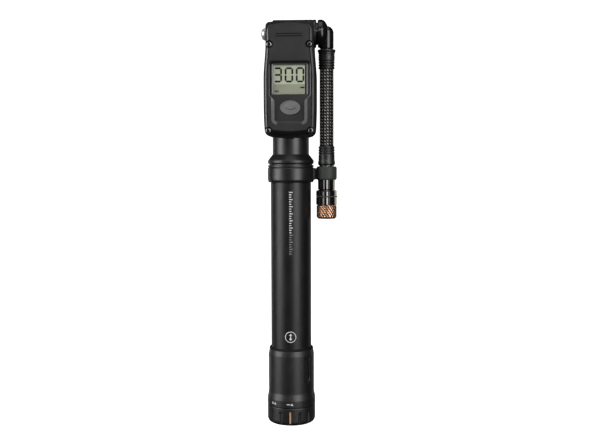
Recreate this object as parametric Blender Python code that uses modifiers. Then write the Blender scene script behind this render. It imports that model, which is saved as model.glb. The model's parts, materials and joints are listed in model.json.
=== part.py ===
"""Two-stage hand pump for suspension forks, shock absorbers and tyres.

The pump stands upright on its selector dial: the dial's bottom face is at Z = 0, the pump's
axis is the Z axis, the display faces -Y and the hose hangs on the +X side.
All numbers below are millimetres; MM turns them into Blender's metres.
"""

import math

import bmesh
import bpy
from mathutils import Matrix, Vector

MM = 0.001
MERGE = 1e-5
GAP = 0.3
OUTER_STEPS = 28
MEDIUM_STEPS = 20
SMALL_STEPS = 16
TINY_STEPS = 12

# Barrel and handle
BARREL_R = 13.35
BARREL_BORE = 12.1
BARREL_LOW = 14.0
BARREL_TOP = 170.0
HANDLE_R = 15.2
HANDLE_FOOT_R = 16.0
HANDLE_LOW = 12.2
HANDLE_TOP = 50.4
SLEEVE_BORE = BARREL_R + GAP
PISTON_R = BARREL_BORE - GAP
INNER_R = 9.0
INNER_BORE = 7.8
INNER_LOW = 39.8
INNER_TOP = 189.0
ROD_R = 4.0
ROD_TOP = 180.0

# Selector dial
DIAL_R = 15.95
DIAL_TOP = 11.9
DIAL_FILLET = 3.0
FLUTES = 15
FLUTE_TOP = 9.2
STOP_ORBIT = 9.0
STOP_PIN_R = 0.8
DIAL_TURN = 45.0
STEM_R = 3.0

# Collar, neck and hose clip
COLLAR_R = 15.35
COLLAR_LOW = 160.9
COLLAR_TOP = 172.3
NECK_R = 12.0
NECK_SPIGOT_R = 10.8
NECK_FLANGE_R = 15.2
NECK_LOW = 172.9
NECK_SHOULDER = 189.3
NECK_TOP = 196.0
CLIP_LOW = 162.4
CLIP_TOP = 171.3

# Head: the cover faces -Y, the rear housing closes it behind
FACE_Y = -16.5
SEAM_Y = -11.5
BACK_Y = 15.0
HEAD_LOW = 189.6
HEAD_TOP = 265.2
HEAD_WAIST = 15.7
HEAD_WIDE = 17.05
WAIST_Z = 251.3
WIDE_HIGH = 228.0
WIDE_LOW = 214.0
COVER_LOW = 192.2
COVER_TOP = 263.3
COVER_INSET = 0.9
HEAD_CORNERS = (4.6, 2.8)
COVER_CORNERS = (4.0, 3.2)
FLOOR_Y = -15.3
SCREW_LOW = 194.5
SCREW_HIGH = 249.7
SCREW_LOW_X = 13.7
SCREW_HIGH_X = 12.95
BUTTON_X = 0.5
BUTTON_Z = 209.3
BUTTON_HALF_X = 6.6
BUTTON_HALF_Z = 4.65
BATTERY_Z = 222.0
SENSOR_Z = 205.0

# Valve body, swivel and hose
VALVE_Z = 258.2
VALVE_R = 9.15
VALVE_LEFT = -11.6
VALVE_RIGHT = 16.9
CHAMBER_R = 4.5
BEARING_R = 3.3
HOSE_X = 23.7
ELBOW_R = 4.63
ELBOW_Z = 258.57
ELBOW_LOW = 248.6
HOSE_R = 4.33
HOSE_BORE = 2.4
HOSE_LOW = 173.5
HOSE_TOP = 246.5
FERRULE_R = 5.35
FERRULE_RIM_R = 5.95
CHUCK_R = 5.75
CHUCK_SLEEVE_R = 6.75
KNURL_R = 6.35
KNURL_LOW = 137.3
SLEEVE_TOP = 155.6

PARTS = "shock_suspension_pump"
CUTTERS = "cutters"


# ---------------------------------------------------------------- scene and materials

def clear_scene():
    for old in list(bpy.data.objects):
        bpy.data.objects.remove(old, do_unlink=True)


def collection(name):
    made = bpy.data.collections.new(name)
    bpy.context.scene.collection.children.link(made)
    return made


def material(name, colour, roughness, metallic):
    made = bpy.data.materials.new(name)
    made.use_nodes = True
    shader = made.node_tree.nodes["Principled BSDF"]
    shader.inputs["Base Color"].default_value = (*colour, 1.0)
    shader.inputs["Roughness"].default_value = roughness
    shader.inputs["Metallic"].default_value = metallic
    made.diffuse_color = (*colour, 1.0)
    return made


clear_scene()
parts = collection(PARTS)
cutters = collection(CUTTERS)

BLACK_METAL = material("black_anodised", (0.030, 0.030, 0.032), 0.42, 0.6)
BLACK_PLASTIC = material("black_plastic", (0.018, 0.018, 0.020), 0.40, 0.0)
COVER_GREY = material("cover_grey", (0.045, 0.045, 0.048), 0.55, 0.0)
CLIP_GREY = material("clip_grey", (0.040, 0.045, 0.042), 0.60, 0.0)
BUTTON_GREY = material("button_rubber", (0.17, 0.17, 0.175), 0.55, 0.0)
RUBBER = material("black_rubber", (0.012, 0.012, 0.013), 0.75, 0.0)
BRAID = material("hose_braid", (0.020, 0.020, 0.022), 0.45, 0.0)
CHROME = material("chrome", (0.80, 0.80, 0.82), 0.08, 1.0)
STEEL = material("steel", (0.55, 0.55, 0.57), 0.30, 1.0)
BLACK_SCREW = material("black_screw", (0.050, 0.050, 0.055), 0.28, 0.9)
BRASS = material("brass", (0.70, 0.50, 0.22), 0.28, 1.0)
GLOSS_BLACK = material("gloss_black_chuck", (0.012, 0.012, 0.014), 0.10, 0.9)
COPPER = material("copper_collar", (0.72, 0.38, 0.20), 0.30, 0.9)
ORANGE = material("index_orange", (0.62, 0.31, 0.12), 0.50, 0.0)
ALUMINIUM = material("inner_aluminium", (0.60, 0.60, 0.62), 0.25, 1.0)
WHITE_PLASTIC = material("bearing_plastic", (0.75, 0.74, 0.70), 0.50, 0.0)
DISPLAY = material("display_glass", (0.36, 0.38, 0.28), 0.20, 0.0)
LENS = material("lens_clear", (0.80, 0.82, 0.80), 0.05, 0.0)
BOARD = material("circuit_green", (0.02, 0.14, 0.06), 0.50, 0.0)


# ---------------------------------------------------------------- bodies

def body(name, origin):
    """An empty on the joint's axis that carries the pieces of one moving body."""
    empty = bpy.data.objects.new(name + "_axis", None)
    empty.location = Vector(origin) * MM
    parts.objects.link(empty)
    return empty


BARREL = body("barrel", (0, 0, 0))
DIAL = body("dial", (0, 0, 0))
HEAD = body("head", (0, 0, 0))
POPPET = body("check_poppet", (0, 0, 231.7))
BLEED = body("bleed", (-14.0, 0, VALVE_Z))
POWER = body("power", (BUTTON_X, FACE_Y, BUTTON_Z))
HOSE = body("hose", (VALVE_RIGHT, 0, VALVE_Z))
COLLAR = body("chuck_collar", (HOSE_X, 0, KNURL_LOW))


# ---------------------------------------------------------------- shape helpers

TURNS = {
    "Z": Matrix.Identity(4),
    "X": Matrix.Rotation(math.radians(90), 4, "Y"),
    "Y": Matrix.Rotation(math.radians(-90), 4, "X"),
    "-Y": Matrix.Rotation(math.radians(90), 4, "X"),
}


def put(piece, carrier, place, axis="Z", look=None):
    """Place a piece in the row frame, as a part of a body or, without one, as a cutter."""
    spot = Matrix.Translation(Vector(place) * MM) @ TURNS[axis]
    if carrier is None:
        cutters.objects.link(piece)
        piece.hide_render = True
        piece.display_type = "WIRE"
        piece.matrix_world = spot
        return piece
    parts.objects.link(piece)
    piece.parent = carrier
    local = Matrix.Translation(-carrier.location) @ spot
    piece.location = local.to_translation()
    piece.rotation_euler = local.to_euler()
    piece.data.materials.append(look)
    return piece


def turned(name, profile, carrier=None, look=None, place=(0, 0, 0), axis="Z", loop=True,
           steps=SMALL_STEPS):
    """A profile of (radius, height) turned about an axis; it runs down its outer side.

    loop closes the profile, for a piece with a hole through it. Otherwise its two ends lie
    on the axis.
    """
    mesh = bpy.data.meshes.new(name)
    points = [(radius * MM, 0, height * MM) for radius, height in profile]
    edges = [(i, i + 1) for i in range(len(points) - 1)]
    if loop:
        edges.append((len(points) - 1, 0))
    mesh.from_pydata(points, edges, [])
    piece = bpy.data.objects.new(name, mesh)
    screw = piece.modifiers.new("Turn", "SCREW")
    screw.axis = "Z"
    screw.steps = steps
    screw.render_steps = steps
    screw.use_merge_vertices = True
    screw.merge_threshold = MERGE
    screw.use_smooth_shade = True
    return put(piece, carrier, place, axis, look)


def tube(name, outer, inner, low, high, carrier=None, look=None, **options):
    profile = [(outer, high), (outer, low), (inner, low), (inner, high)]
    return turned(name, profile, carrier, look, **options)


def cylinder(name, radius, low, high, carrier=None, look=None, place=(0, 0, 0), axis="Z",
             steps=SMALL_STEPS):
    bm = bmesh.new()
    bmesh.ops.create_cone(bm, cap_ends=True, segments=steps, radius1=radius * MM,
                          radius2=radius * MM, depth=(high - low) * MM)
    bmesh.ops.translate(bm, verts=bm.verts, vec=(0, 0, (high + low) / 2 * MM))
    return from_bmesh(name, bm, carrier, look, place, axis)


def box(name, low, high, carrier=None, look=None):
    size = [(b - a) * MM for a, b in zip(low, high)]
    middle = [(a + b) / 2 for a, b in zip(low, high)]
    bm = bmesh.new()
    bmesh.ops.create_cube(bm, size=1.0)
    bmesh.ops.scale(bm, verts=bm.verts, vec=size)
    return from_bmesh(name, bm, carrier, look, middle, "Z")


def from_bmesh(name, bm, carrier, look, place, axis):
    mesh = bpy.data.meshes.new(name)
    bm.to_mesh(mesh)
    bm.free()
    mesh.shade_smooth()
    mesh.set_sharp_from_angle(angle=math.radians(35))
    return put(bpy.data.objects.new(name, mesh), carrier, place, axis, look)


def seal(name, middle_r, wire_r, height, carrier, place=(0, 0, 0), axis="Z", look=RUBBER):
    """An O-ring whose wire runs at middle_r, at a height along the axis."""
    bpy.ops.mesh.primitive_torus_add(major_segments=SMALL_STEPS, minor_segments=5,
                                     major_radius=middle_r * MM, minor_radius=wire_r * MM)
    ring = bpy.context.object
    for holder in list(ring.users_collection):
        holder.objects.unlink(ring)
    ring.name = name
    ring.data.name = name
    ring.data.transform(Matrix.Translation((0, 0, height * MM)))
    return put(ring, carrier, place, axis, look)


def outline_plate(name, outline, low, high, carrier=None, look=None, place=(0, 0, 0), axis="Z"):
    """A flat outline made solid between two heights along the axis."""
    curve = bpy.data.curves.new(name, "CURVE")
    curve.dimensions = "2D"
    curve.fill_mode = "BOTH"
    curve.extrude = (high - low) / 2 * MM
    spline = curve.splines.new("POLY")
    spline.points.add(len(outline) - 1)
    for point, (x, y) in zip(spline.points, outline):
        point.co = (x * MM, y * MM, 0, 1)
    spline.use_cyclic_u = True
    drawn = bpy.data.objects.new(name, curve)
    bpy.context.scene.collection.objects.link(drawn)
    mesh = bpy.data.meshes.new_from_object(drawn.evaluated_get(evaluated()))
    bpy.data.objects.remove(drawn, do_unlink=True)
    bm = bmesh.new()
    bm.from_mesh(mesh)
    bpy.data.meshes.remove(mesh)
    bmesh.ops.remove_doubles(bm, verts=bm.verts, dist=MERGE)
    bmesh.ops.dissolve_limit(bm, angle_limit=math.radians(0.5), verts=bm.verts, edges=bm.edges)
    bmesh.ops.translate(bm, verts=bm.verts, vec=(0, 0, (high + low) / 2 * MM))
    bmesh.ops.recalc_face_normals(bm, faces=bm.faces)
    return from_bmesh(name, bm, carrier, look, place, axis)


def evaluated():
    bpy.context.view_layer.update()
    return bpy.context.evaluated_depsgraph_get()


def round_rim(piece, height, radius, segments=2):
    """Round the plate's edge at one end of its thickness."""
    bm = bmesh.new()
    bm.from_mesh(piece.data)
    rim = [edge for edge in bm.edges if all(abs(v.co.z - height * MM) < MERGE for v in edge.verts)]
    bmesh.ops.bevel(bm, geom=rim, offset=radius * MM, segments=segments, profile=0.5,
                    affect="EDGES", clamp_overlap=True)
    bm.to_mesh(piece.data)
    bm.free()


def boolean(piece, other, operation):
    step = piece.modifiers.new(other.name, "BOOLEAN")
    step.operation = operation
    step.solver = "EXACT"
    step.object = other


def cut(piece, *others):
    for other in others:
        boolean(piece, other, "DIFFERENCE")


def join(piece, *others):
    for other in others:
        boolean(piece, other, "UNION")


def arc(centre, radius, start, stop, count):
    """Points on an arc, from one angle to another in degrees."""
    points = []
    for i in range(count):
        angle = math.radians(start + (stop - start) * i / (count - 1))
        points.append((centre[0] + radius * math.cos(angle), centre[1] + radius * math.sin(angle)))
    return points


def mirrored(half):
    """A right-hand half outline, bottom to top, with its mirror image."""
    return half + [(-x, y) for x, y in reversed(half) if abs(x) > MERGE]


def ellipse(half_x, half_y, count=24):
    turn = 2 * math.pi / count
    return [(half_x * math.cos(i * turn), half_y * math.sin(i * turn)) for i in range(count)]


def grooved(outer, floor, low, high):
    """The outer side of a turned piece with a square groove, from the top down."""
    return [(outer, high), (floor, high), (floor, low), (outer, low)]


# ---------------------------------------------------------------- barrel, handle, plunger

def make_barrel():
    tube("barrel_tube", BARREL_R, BARREL_BORE, BARREL_LOW, BARREL_TOP, BARREL, BLACK_METAL,
         steps=OUTER_STEPS)
    handle = [(14.35, HANDLE_TOP), (HANDLE_R, 46.1), (HANDLE_R, 20.8), (HANDLE_FOOT_R, 16.2),
              (HANDLE_FOOT_R, HANDLE_LOW), (SLEEVE_BORE, HANDLE_LOW), (SLEEVE_BORE, HANDLE_TOP)]
    turned("handle_sleeve", handle, BARREL, BLACK_PLASTIC, steps=OUTER_STEPS)
    tube("barrel_guide_bush", PISTON_R, INNER_R + GAP, 160.0, 169.6, BARREL, WHITE_PLASTIC,
         steps=MEDIUM_STEPS)


def make_end_plug():
    """The plug that closes the barrel, carries the plunger rod and holds the selector stem."""
    profile = [(PISTON_R, 26.0)] + grooved(PISTON_R, 10.4, 20.6, 22.6)
    profile += [(PISTON_R, 13.7), (13.2, 13.7), (13.2, 12.6), (BEARING_R, 12.6),
                (BEARING_R, 17.0), (ROD_R + GAP, 17.0), (ROD_R + GAP, 26.0)]
    plug = turned("end_plug", profile, BARREL, ALUMINIUM, steps=MEDIUM_STEPS)
    pin_hole = cylinder("pin_hole", STOP_PIN_R + GAP, 12.0, 16.3, place=(0, STOP_ORBIT, 0),
                        steps=TINY_STEPS)
    ball_hole = cylinder("ball_hole", 1.3, 12.0, 17.0, place=(STOP_ORBIT, 0, 0),
                         steps=TINY_STEPS)
    cut(plug, pin_hole, ball_hole)
    seal("end_plug_oring", 11.25, 0.5, 21.6, BARREL)
    cylinder("dial_stop_pin", STOP_PIN_R, 8.6, 16.0, BARREL, STEEL, place=(0, STOP_ORBIT, 0),
             steps=TINY_STEPS)
    ball = [(0, 14.25)] + [(math.sin(a), 13.25 + math.cos(a)) for a in (0.7, 1.4, 2.1, 2.6)]
    turned("detent_ball", ball + [(0, 12.25)], BARREL, STEEL, place=(STOP_ORBIT, 0, 0),
           loop=False, steps=TINY_STEPS)


def make_plunger():
    """The fixed rod inside the pump; its small piston works in the inner tube."""
    tube("plunger_rod", ROD_R, 2.4, 20.3, ROD_TOP, BARREL, STEEL)
    piston_r = INNER_BORE - GAP
    profile = [(piston_r, 186.8)] + grooved(piston_r, 6.2, 182.4, 184.4)
    profile += [(piston_r, 180.3), (2.1, 180.3), (2.1, 172.0), (0.9, 172.0), (0.9, 186.8)]
    turned("high_pressure_piston", profile, BARREL, WHITE_PLASTIC)
    seal("high_pressure_piston_ring", 6.95, 0.42, 183.4, BARREL)


# ---------------------------------------------------------------- selector dial

def make_dial():
    fillet = arc((DIAL_R - DIAL_FILLET, DIAL_FILLET), DIAL_FILLET, 0, -90, 4)
    profile = [(0, 4.0), (STEM_R + GAP, 4.0), (STEM_R + GAP, DIAL_TOP),
               (DIAL_R - 0.5, DIAL_TOP), (DIAL_R, 11.5)] + fillet + [(0, 0)]
    dial = turned("dial_knob", profile, DIAL, BLACK_PLASTIC, loop=False, steps=45)
    slot = box("index_slot", (-0.95, -17, 1.5), (0.95, 1.2 - DIAL_R, 9.8))
    cut(dial, flute_cutter(), stop_slot(), slot)
    box("dial_index", (-0.65, 0.25 - DIAL_R, 1.8), (0.65, 0.9 - DIAL_R, 9.5), DIAL, ORANGE)
    stem = [(0, 19.7), (STEM_R, 19.7)] + grooved(STEM_R, 2.3, 17.2, 18.4)
    stem += grooved(STEM_R, 2.0, 14.2, 15.6) + [(STEM_R, 4.3), (0, 4.3)]
    turned("selector_stem", stem, DIAL, BRASS, loop=False)
    seal("selector_stem_oring", 2.65, 0.33, 14.9, DIAL)
    tube("selector_stem_clip", 4.0, 2.6, 17.4, 18.2, DIAL, STEEL)


def flute_cutter():
    """Finger flutes round the dial; the front place is left for the index line."""
    orbit = DIAL_R + 0.7
    bm = bmesh.new()
    for i in range(1, FLUTES):
        angle = 2 * math.pi * i / FLUTES - math.pi / 2
        spot = Vector((orbit * math.cos(angle), orbit * math.sin(angle), FLUTE_TOP / 2 - 1)) * MM
        bmesh.ops.create_cone(bm, cap_ends=True, segments=6, radius1=1.5 * MM, radius2=1.5 * MM,
                              depth=(FLUTE_TOP + 2) * MM, matrix=Matrix.Translation(spot))
    return from_bmesh("flutes", bm, None, None, (0, 0, 0), "Z")


def stop_slot():
    """The slot in the dial's top that the stop pin runs in; its ends stop the dial."""
    reach = STOP_PIN_R + GAP
    stop = 90 + DIAL_TURN
    far = math.radians(stop)
    outer = arc((0, 0), STOP_ORBIT + reach, 90, stop, 7)
    far_end = arc((STOP_ORBIT * math.cos(far), STOP_ORBIT * math.sin(far)), reach,
                  stop, stop + 180, 5)
    inner = arc((0, 0), STOP_ORBIT - reach, stop, 90, 7)
    near_end = arc((0, STOP_ORBIT), reach, -90, 90, 5)
    outline = outer + far_end[1:-1] + inner + near_end[1:-1]
    return outline_plate("stop_slot", outline, 8.2, DIAL_TOP + 1)


# ---------------------------------------------------------------- sliding half of the pump

def make_collar_and_neck():
    collar = [(14.9, COLLAR_TOP), (15.1, 171.9), (15.1, 171.0), (14.9, 170.7),
              (COLLAR_R, 170.4), (COLLAR_R, 162.2), (14.9, COLLAR_LOW),
              (SLEEVE_BORE, COLLAR_LOW), (SLEEVE_BORE, 170.3), (INNER_R + GAP, 170.3),
              (INNER_R + GAP, COLLAR_TOP)]
    turned("clip_collar", collar, HEAD, BLACK_METAL, steps=OUTER_STEPS)
    neck = [(NECK_SPIGOT_R, NECK_TOP), (NECK_SPIGOT_R, NECK_SHOULDER), (NECK_R, NECK_SHOULDER),
            (NECK_R, 179.2), (14.9, 175.6), (NECK_FLANGE_R, 175.0), (NECK_FLANGE_R, 173.7),
            (14.8, NECK_LOW), (14.2, NECK_LOW), (14.2, COLLAR_TOP + GAP),
            (INNER_R + GAP, COLLAR_TOP + GAP), (INNER_R + GAP, 189.3), (2.0, 189.3),
            (2.0, 192.0), (BEARING_R, 192.0), (BEARING_R, NECK_TOP)]
    turned("neck", neck, HEAD, BLACK_METAL, steps=OUTER_STEPS)


def make_hose_clip():
    """A U-shaped clip, open to the rear, on a short arm that stands on the collar."""
    inner_r = CHUCK_R + GAP
    outer_r = CHUCK_R + 1.0
    tips = 5.2
    outline = arc((HOSE_X, 0), outer_r, -180, 0, 13)
    outline += [(HOSE_X + outer_r, tips), (HOSE_X + inner_r, tips)]
    outline += arc((HOSE_X, 0), inner_r, 0, -180, 13)
    outline += [(HOSE_X - inner_r, tips), (HOSE_X - outer_r, tips)]
    clip = outline_plate("hose_clip", outline, CLIP_LOW, CLIP_TOP, HEAD, CLIP_GREY)
    arm = box("clip_arm", (13.5, -3.2, CLIP_LOW), (HOSE_X - outer_r + 0.35, 3.6, CLIP_TOP - 0.9))
    rim = cylinder("collar_clearance", COLLAR_R + GAP, CLIP_LOW - 2, CLIP_TOP + 2,
                   steps=OUTER_STEPS)
    join(clip, arm)
    cut(clip, rim)


def make_inner_tube():
    tube("inner_tube", INNER_R, INNER_BORE, INNER_LOW, INNER_TOP, HEAD, ALUMINIUM,
         steps=MEDIUM_STEPS)
    boss_r = INNER_BORE - GAP
    profile = [(boss_r, 44.0), (boss_r, 39.5), (PISTON_R, 39.5)]
    profile += grooved(PISTON_R, 10.4, 34.5, 36.5)
    profile += [(PISTON_R, 30.0), (4.4, 30.0), (4.4, 41.4), (6.0, 41.4), (6.0, 44.0)]
    turned("main_piston", profile, HEAD, WHITE_PLASTIC, steps=MEDIUM_STEPS)
    seal("main_piston_ring", 11.25, 0.5, 35.5, HEAD)
    seal("rod_seal", 5.1, 0.55, 42.6, HEAD)


# ---------------------------------------------------------------- head

def head_flank(height):
    """Half width of the head: widest at the display, narrower at the hose joint and the foot."""
    if height >= WAIST_Z:
        return HEAD_WAIST
    if height >= WIDE_HIGH:
        share = (height - WIDE_HIGH) / (WAIST_Z - WIDE_HIGH)
        return HEAD_WIDE - (HEAD_WIDE - HEAD_WAIST) * share ** 2
    if height >= WIDE_LOW:
        return HEAD_WIDE
    return HEAD_WIDE - 0.45 * ((WIDE_LOW - height) / 18.0) ** 2


def head_outline(low, top, inset, corners, top_crown):
    """Front view of the head: crowned ends, rounded corners and curved flanks."""
    crown = 1.1
    low_corner, top_corner = corners
    right = [(0, low), (6.5, low + 0.25 * crown)]
    foot = head_flank(low + low_corner) - inset
    right += arc((foot - low_corner, low + crown + low_corner), low_corner, -75, 0, 5)
    first = low + crown + low_corner
    last = top - top_crown - top_corner
    count = 8
    for i in range(1, count):
        height = first + (last - first) * i / count
        right.append((head_flank(height) - inset, height))
    head = head_flank(last) - inset
    right += arc((head - top_corner, last), top_corner, 0, 75, 5)
    right += [(6.5, top - 0.25 * top_crown), (0, top)]
    return mirrored(right)


def make_rear_housing():
    outline = head_outline(HEAD_LOW, HEAD_TOP, 0, HEAD_CORNERS, 0.5)
    housing = outline_plate("rear_housing", outline, -BACK_Y, -SEAM_Y - GAP, HEAD,
                            BLACK_PLASTIC, axis="-Y")
    round_rim(housing, -BACK_Y, 2.5)
    cavity = box("rear_cavity", (-14.9, SEAM_Y - 1, 197.5), (14.9, 12.6, 245.5))
    stem_hole = cylinder("stem_hole", 7.3, 244, VALVE_Z)
    channel = cylinder("valve_channel", VALVE_R + GAP, VALVE_LEFT - GAP, 20, axis="X",
                       place=(0, 0, VALVE_Z), steps=OUTER_STEPS)
    button_hole = cylinder("bleed_hole", CHAMBER_R, -20, VALVE_LEFT, axis="X",
                           place=(0, 0, VALVE_Z))
    door_hole = cylinder("door_hole", 11.3, 12, 16, axis="Y", place=(0, 0, BATTERY_Z),
                         steps=MEDIUM_STEPS)
    neck_hole = cylinder("neck_hole", NECK_SPIGOT_R + GAP, 188, 198, steps=OUTER_STEPS)
    cut(housing, cavity, neck_hole, stem_hole, channel, button_hole, door_hole)
    for number, (x, z) in enumerate(screw_places()):
        cut(housing, cylinder(f"pilot_{number}", 1.3, 8.0, 13.0, axis="-Y", place=(x, 0, z),
                              steps=TINY_STEPS))


def screw_places():
    rows = ((SCREW_LOW_X, SCREW_LOW), (SCREW_HIGH_X, SCREW_HIGH))
    return [(side * x, z) for x, z in rows for side in (-1, 1)]


def panel_outline():
    """The sunk panel: wide round the display, narrower round the button."""
    right = arc((8.0, 201.5), 2.0, -90, 0, 4)
    right += [(10.0, 213.3), (12.75, 217.8)]
    right += arc((10.75, 237.0), 2.0, 0, 90, 4)
    return mirrored(right)


def make_front_cover():
    outline = head_outline(COVER_LOW, COVER_TOP, COVER_INSET, COVER_CORNERS, 1.1)
    cover = outline_plate("front_cover", outline, -SEAM_Y, -FACE_Y, HEAD, COVER_GREY, axis="-Y")
    round_rim(cover, -FACE_Y, 1.1)
    panel = outline_plate("panel_recess", panel_outline(), -FLOOR_Y, 18, axis="-Y")
    window = box("window", (-11.3, -18, 217.3), (11.3, -13, 237.1))
    cavity = box("cover_cavity", (-13.9, -13.7, 198.0), (13.9, -11, 245.0))
    hole = ellipse(BUTTON_HALF_X + 0.35, BUTTON_HALF_Z + 0.35)
    button_hole = outline_plate("button_hole", hole, 13, 18, axis="-Y",
                                place=(BUTTON_X, 0, BUTTON_Z))
    cut(cover, panel, window, cavity, button_hole)
    for number, (x, z) in enumerate(screw_places()):
        head_hole = cylinder(f"head_hole_{number}", 2.4, 14.3, 18.0, axis="-Y", place=(x, 0, z))
        shank_hole = cylinder(f"shank_hole_{number}", 1.4, 11.0, 15.0, axis="-Y",
                              place=(x, 0, z), steps=TINY_STEPS)
        cut(cover, head_hole, shank_hole)
        screw = [(0, 15.0), (0.9, 15.0), (0.9, 15.9), (1.5, 15.9), (1.85, 15.5), (1.85, 14.6),
                 (1.0, 14.6), (1.0, 8.4), (0, 8.4)]
        turned(f"cover_screw_{number + 1}", screw, HEAD, BLACK_SCREW, place=(x, 0, z),
               axis="-Y", loop=False, steps=TINY_STEPS)


def make_electronics():
    box("lcd_lens", (-11.0, -15.1, 217.6), (11.0, -14.1, 236.8), HEAD, LENS)
    box("lcd_panel", (-11.6, -13.4, 215.6), (11.6, -11.4, 238.6), HEAD, DISPLAY)
    board = box("circuit_board", (-13.4, -9.9, 199.0), (13.4, -8.9, 243.5), HEAD, BOARD)
    cut(board, cylinder("board_hole", 1.2, 7, 12, axis="-Y", place=(10.5, 0, 202.0),
                        steps=TINY_STEPS))
    half = 3.0
    box("tact_switch", (BUTTON_X - half, -11.2, BUTTON_Z - half),
        (BUTTON_X + half, -10.2, BUTTON_Z + half), HEAD, STEEL)
    sensor = [(0, 8.6), (2.6, 8.6), (2.6, 7.4), (0.7, 7.4), (0.7, 4.6), (0, 4.6)]
    turned("pressure_sensor", sensor, HEAD, STEEL, place=(0, 0, SENSOR_Z), axis="-Y",
           loop=False)
    tablet = [(0, 12.1), (9.6, 12.1), (10.0, 11.7), (10.0, 8.9), (0, 8.9)]
    turned("coin_cell", tablet, HEAD, STEEL, place=(0, 0, BATTERY_Z), axis="Y", loop=False,
           steps=MEDIUM_STEPS)
    door = [(0, BACK_Y), (10.6, BACK_Y), (11.0, BACK_Y - 0.4), (11.0, 13.3), (9.6, 13.3),
            (9.6, 12.4), (0, 12.4)]
    door = turned("battery_door", door, HEAD, BLACK_PLASTIC, place=(0, 0, BATTERY_Z), axis="Y",
                  loop=False, steps=MEDIUM_STEPS)
    cut(door, box("coin_slot", (-5.5, 14.2, BATTERY_Z - 0.8), (5.5, 16.0, BATTERY_Z + 0.8)))
    seal("battery_door_seal", 10.2, 0.33, 12.85, HEAD, place=(0, 0, BATTERY_Z), axis="Y")


def make_power_button():
    """The oval rubber key; a flange behind the cover keeps it in."""
    half = BUTTON_HALF_Z
    profile = [(0, 16.2), (3.4, 16.1), (4.3, 15.9), (half, 15.5), (half, 13.3),
               (half + 0.7, 13.3), (half + 0.7, 12.7), (1.2, 12.7), (1.2, 12.3), (0, 12.3)]
    key = turned("power_button", profile, POWER, BUTTON_GREY, place=(BUTTON_X, 0, BUTTON_Z),
                 axis="-Y", loop=False, steps=MEDIUM_STEPS)
    key.scale = (BUTTON_HALF_X / half, 1, 1)


# ---------------------------------------------------------------- valve body and its valves

def make_valve_body():
    """A horizontal barrel for the hose joint and bleed valve on a post that stands on the neck."""
    outer = [(0, VALVE_RIGHT), (8.7, VALVE_RIGHT), (VALVE_R, 16.5), (VALVE_R, -11.2),
             (8.7, VALVE_LEFT), (0, VALVE_LEFT)]
    valve = turned("valve_body", outer, HEAD, BLACK_METAL, place=(0, 0, VALVE_Z), axis="X",
                   loop=False, steps=OUTER_STEPS)
    post = [(0, 253.0), (7.0, 253.0), (7.0, NECK_TOP + GAP), (STEM_R, NECK_TOP + GAP),
            (STEM_R, 192.4), (0, 192.4)]
    bore = [(0, 18.0), (7.5, 18.0), (7.5, 12.9), (BEARING_R, 12.9), (BEARING_R, 7.0),
            (CHAMBER_R, 7.0), (CHAMBER_R, -13.0), (0, -13.0)]
    chamber = [(0, VALVE_Z), (CHAMBER_R, VALVE_Z), (CHAMBER_R, 229.0), (1.6, 229.0),
               (1.6, 191.0), (0, 191.0)]
    join(valve, turned("post", post, loop=False, steps=MEDIUM_STEPS))
    cut(valve, turned("cross_bore", bore, place=(0, 0, VALVE_Z), axis="X", loop=False))
    cut(valve, turned("post_bore", chamber, loop=False))
    cut(valve, cylinder("sensor_port", 1.0, 0.4, 9.0, axis="-Y", place=(0, 0, SENSOR_Z),
                        steps=TINY_STEPS))


def make_check_valve():
    ring_r = CHAMBER_R - GAP
    tube("check_valve_seat", ring_r, 1.7, 229.3, 231.3, HEAD, BRASS)
    poppet = [(0, 238.0), (1.0, 238.0), (1.0, 233.2), (3.0, 233.2), (3.0, 231.7), (0, 231.7)]
    turned("check_valve_poppet", poppet, POPPET, WHITE_PLASTIC, loop=False)
    coil("check_valve_spring", 2.2, 0.3, 233.9, 240.4, 5, HEAD)
    tube("check_spring_stop", ring_r, 1.5, 241.0, 242.4, HEAD, STEEL)


def coil(name, radius, wire, low, high, turns, carrier, place=(0, 0, 0), axis="Z"):
    """A compression spring wound along the axis."""
    around = 8
    curve = bpy.data.curves.new(name, "CURVE")
    curve.dimensions = "3D"
    curve.bevel_depth = wire * MM
    curve.bevel_resolution = 0
    curve.use_fill_caps = True
    spline = curve.splines.new("POLY")
    count = around * turns
    spline.points.add(count)
    for i, point in enumerate(spline.points):
        angle = 2 * math.pi * i / around
        height = low + (high - low) * i / count
        point.co = (radius * math.cos(angle) * MM, radius * math.sin(angle) * MM,
                    height * MM, 1)
    return put(bpy.data.objects.new(name, curve), carrier, place, axis, STEEL)


def make_bleed_valve():
    """A press button on the head's left side opens the seat and lets air out."""
    on_axis = {"place": (0, 0, VALVE_Z), "axis": "X"}
    ring_r = CHAMBER_R - GAP
    tube("bleed_seat", ring_r, 1.7, -11.4, -4.3, HEAD, BRASS, **on_axis)
    tube("bleed_spring_stop", ring_r, 1.5, 3.4, 4.5, HEAD, STEEL, **on_axis)
    stem = [(0, -2.4), (3.0, -2.4), (3.0, -3.9), (1.25, -3.9), (1.25, -16.1), (0, -16.1)]
    turned("bleed_stem", stem, BLEED, BRASS, loop=False, **on_axis)
    button_r = 4.15
    button = [(0, -16.4), (1.55, -16.4), (1.55, -14.0), (button_r, -14.0)]
    for angle in (0, 22.5, 45, 67.5):
        turn = math.radians(angle)
        button.append((button_r * math.cos(turn), -17.0 - 2.57 * math.sin(turn)))
    button.append((0, -19.57))
    turned("bleed_button", button, BLEED, CHROME, loop=False, steps=MEDIUM_STEPS, **on_axis)
    coil("bleed_spring", 2.3, 0.3, -1.9, 2.9, 4, HEAD, **on_axis)


# ---------------------------------------------------------------- hose joint, hose and chuck

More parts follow.
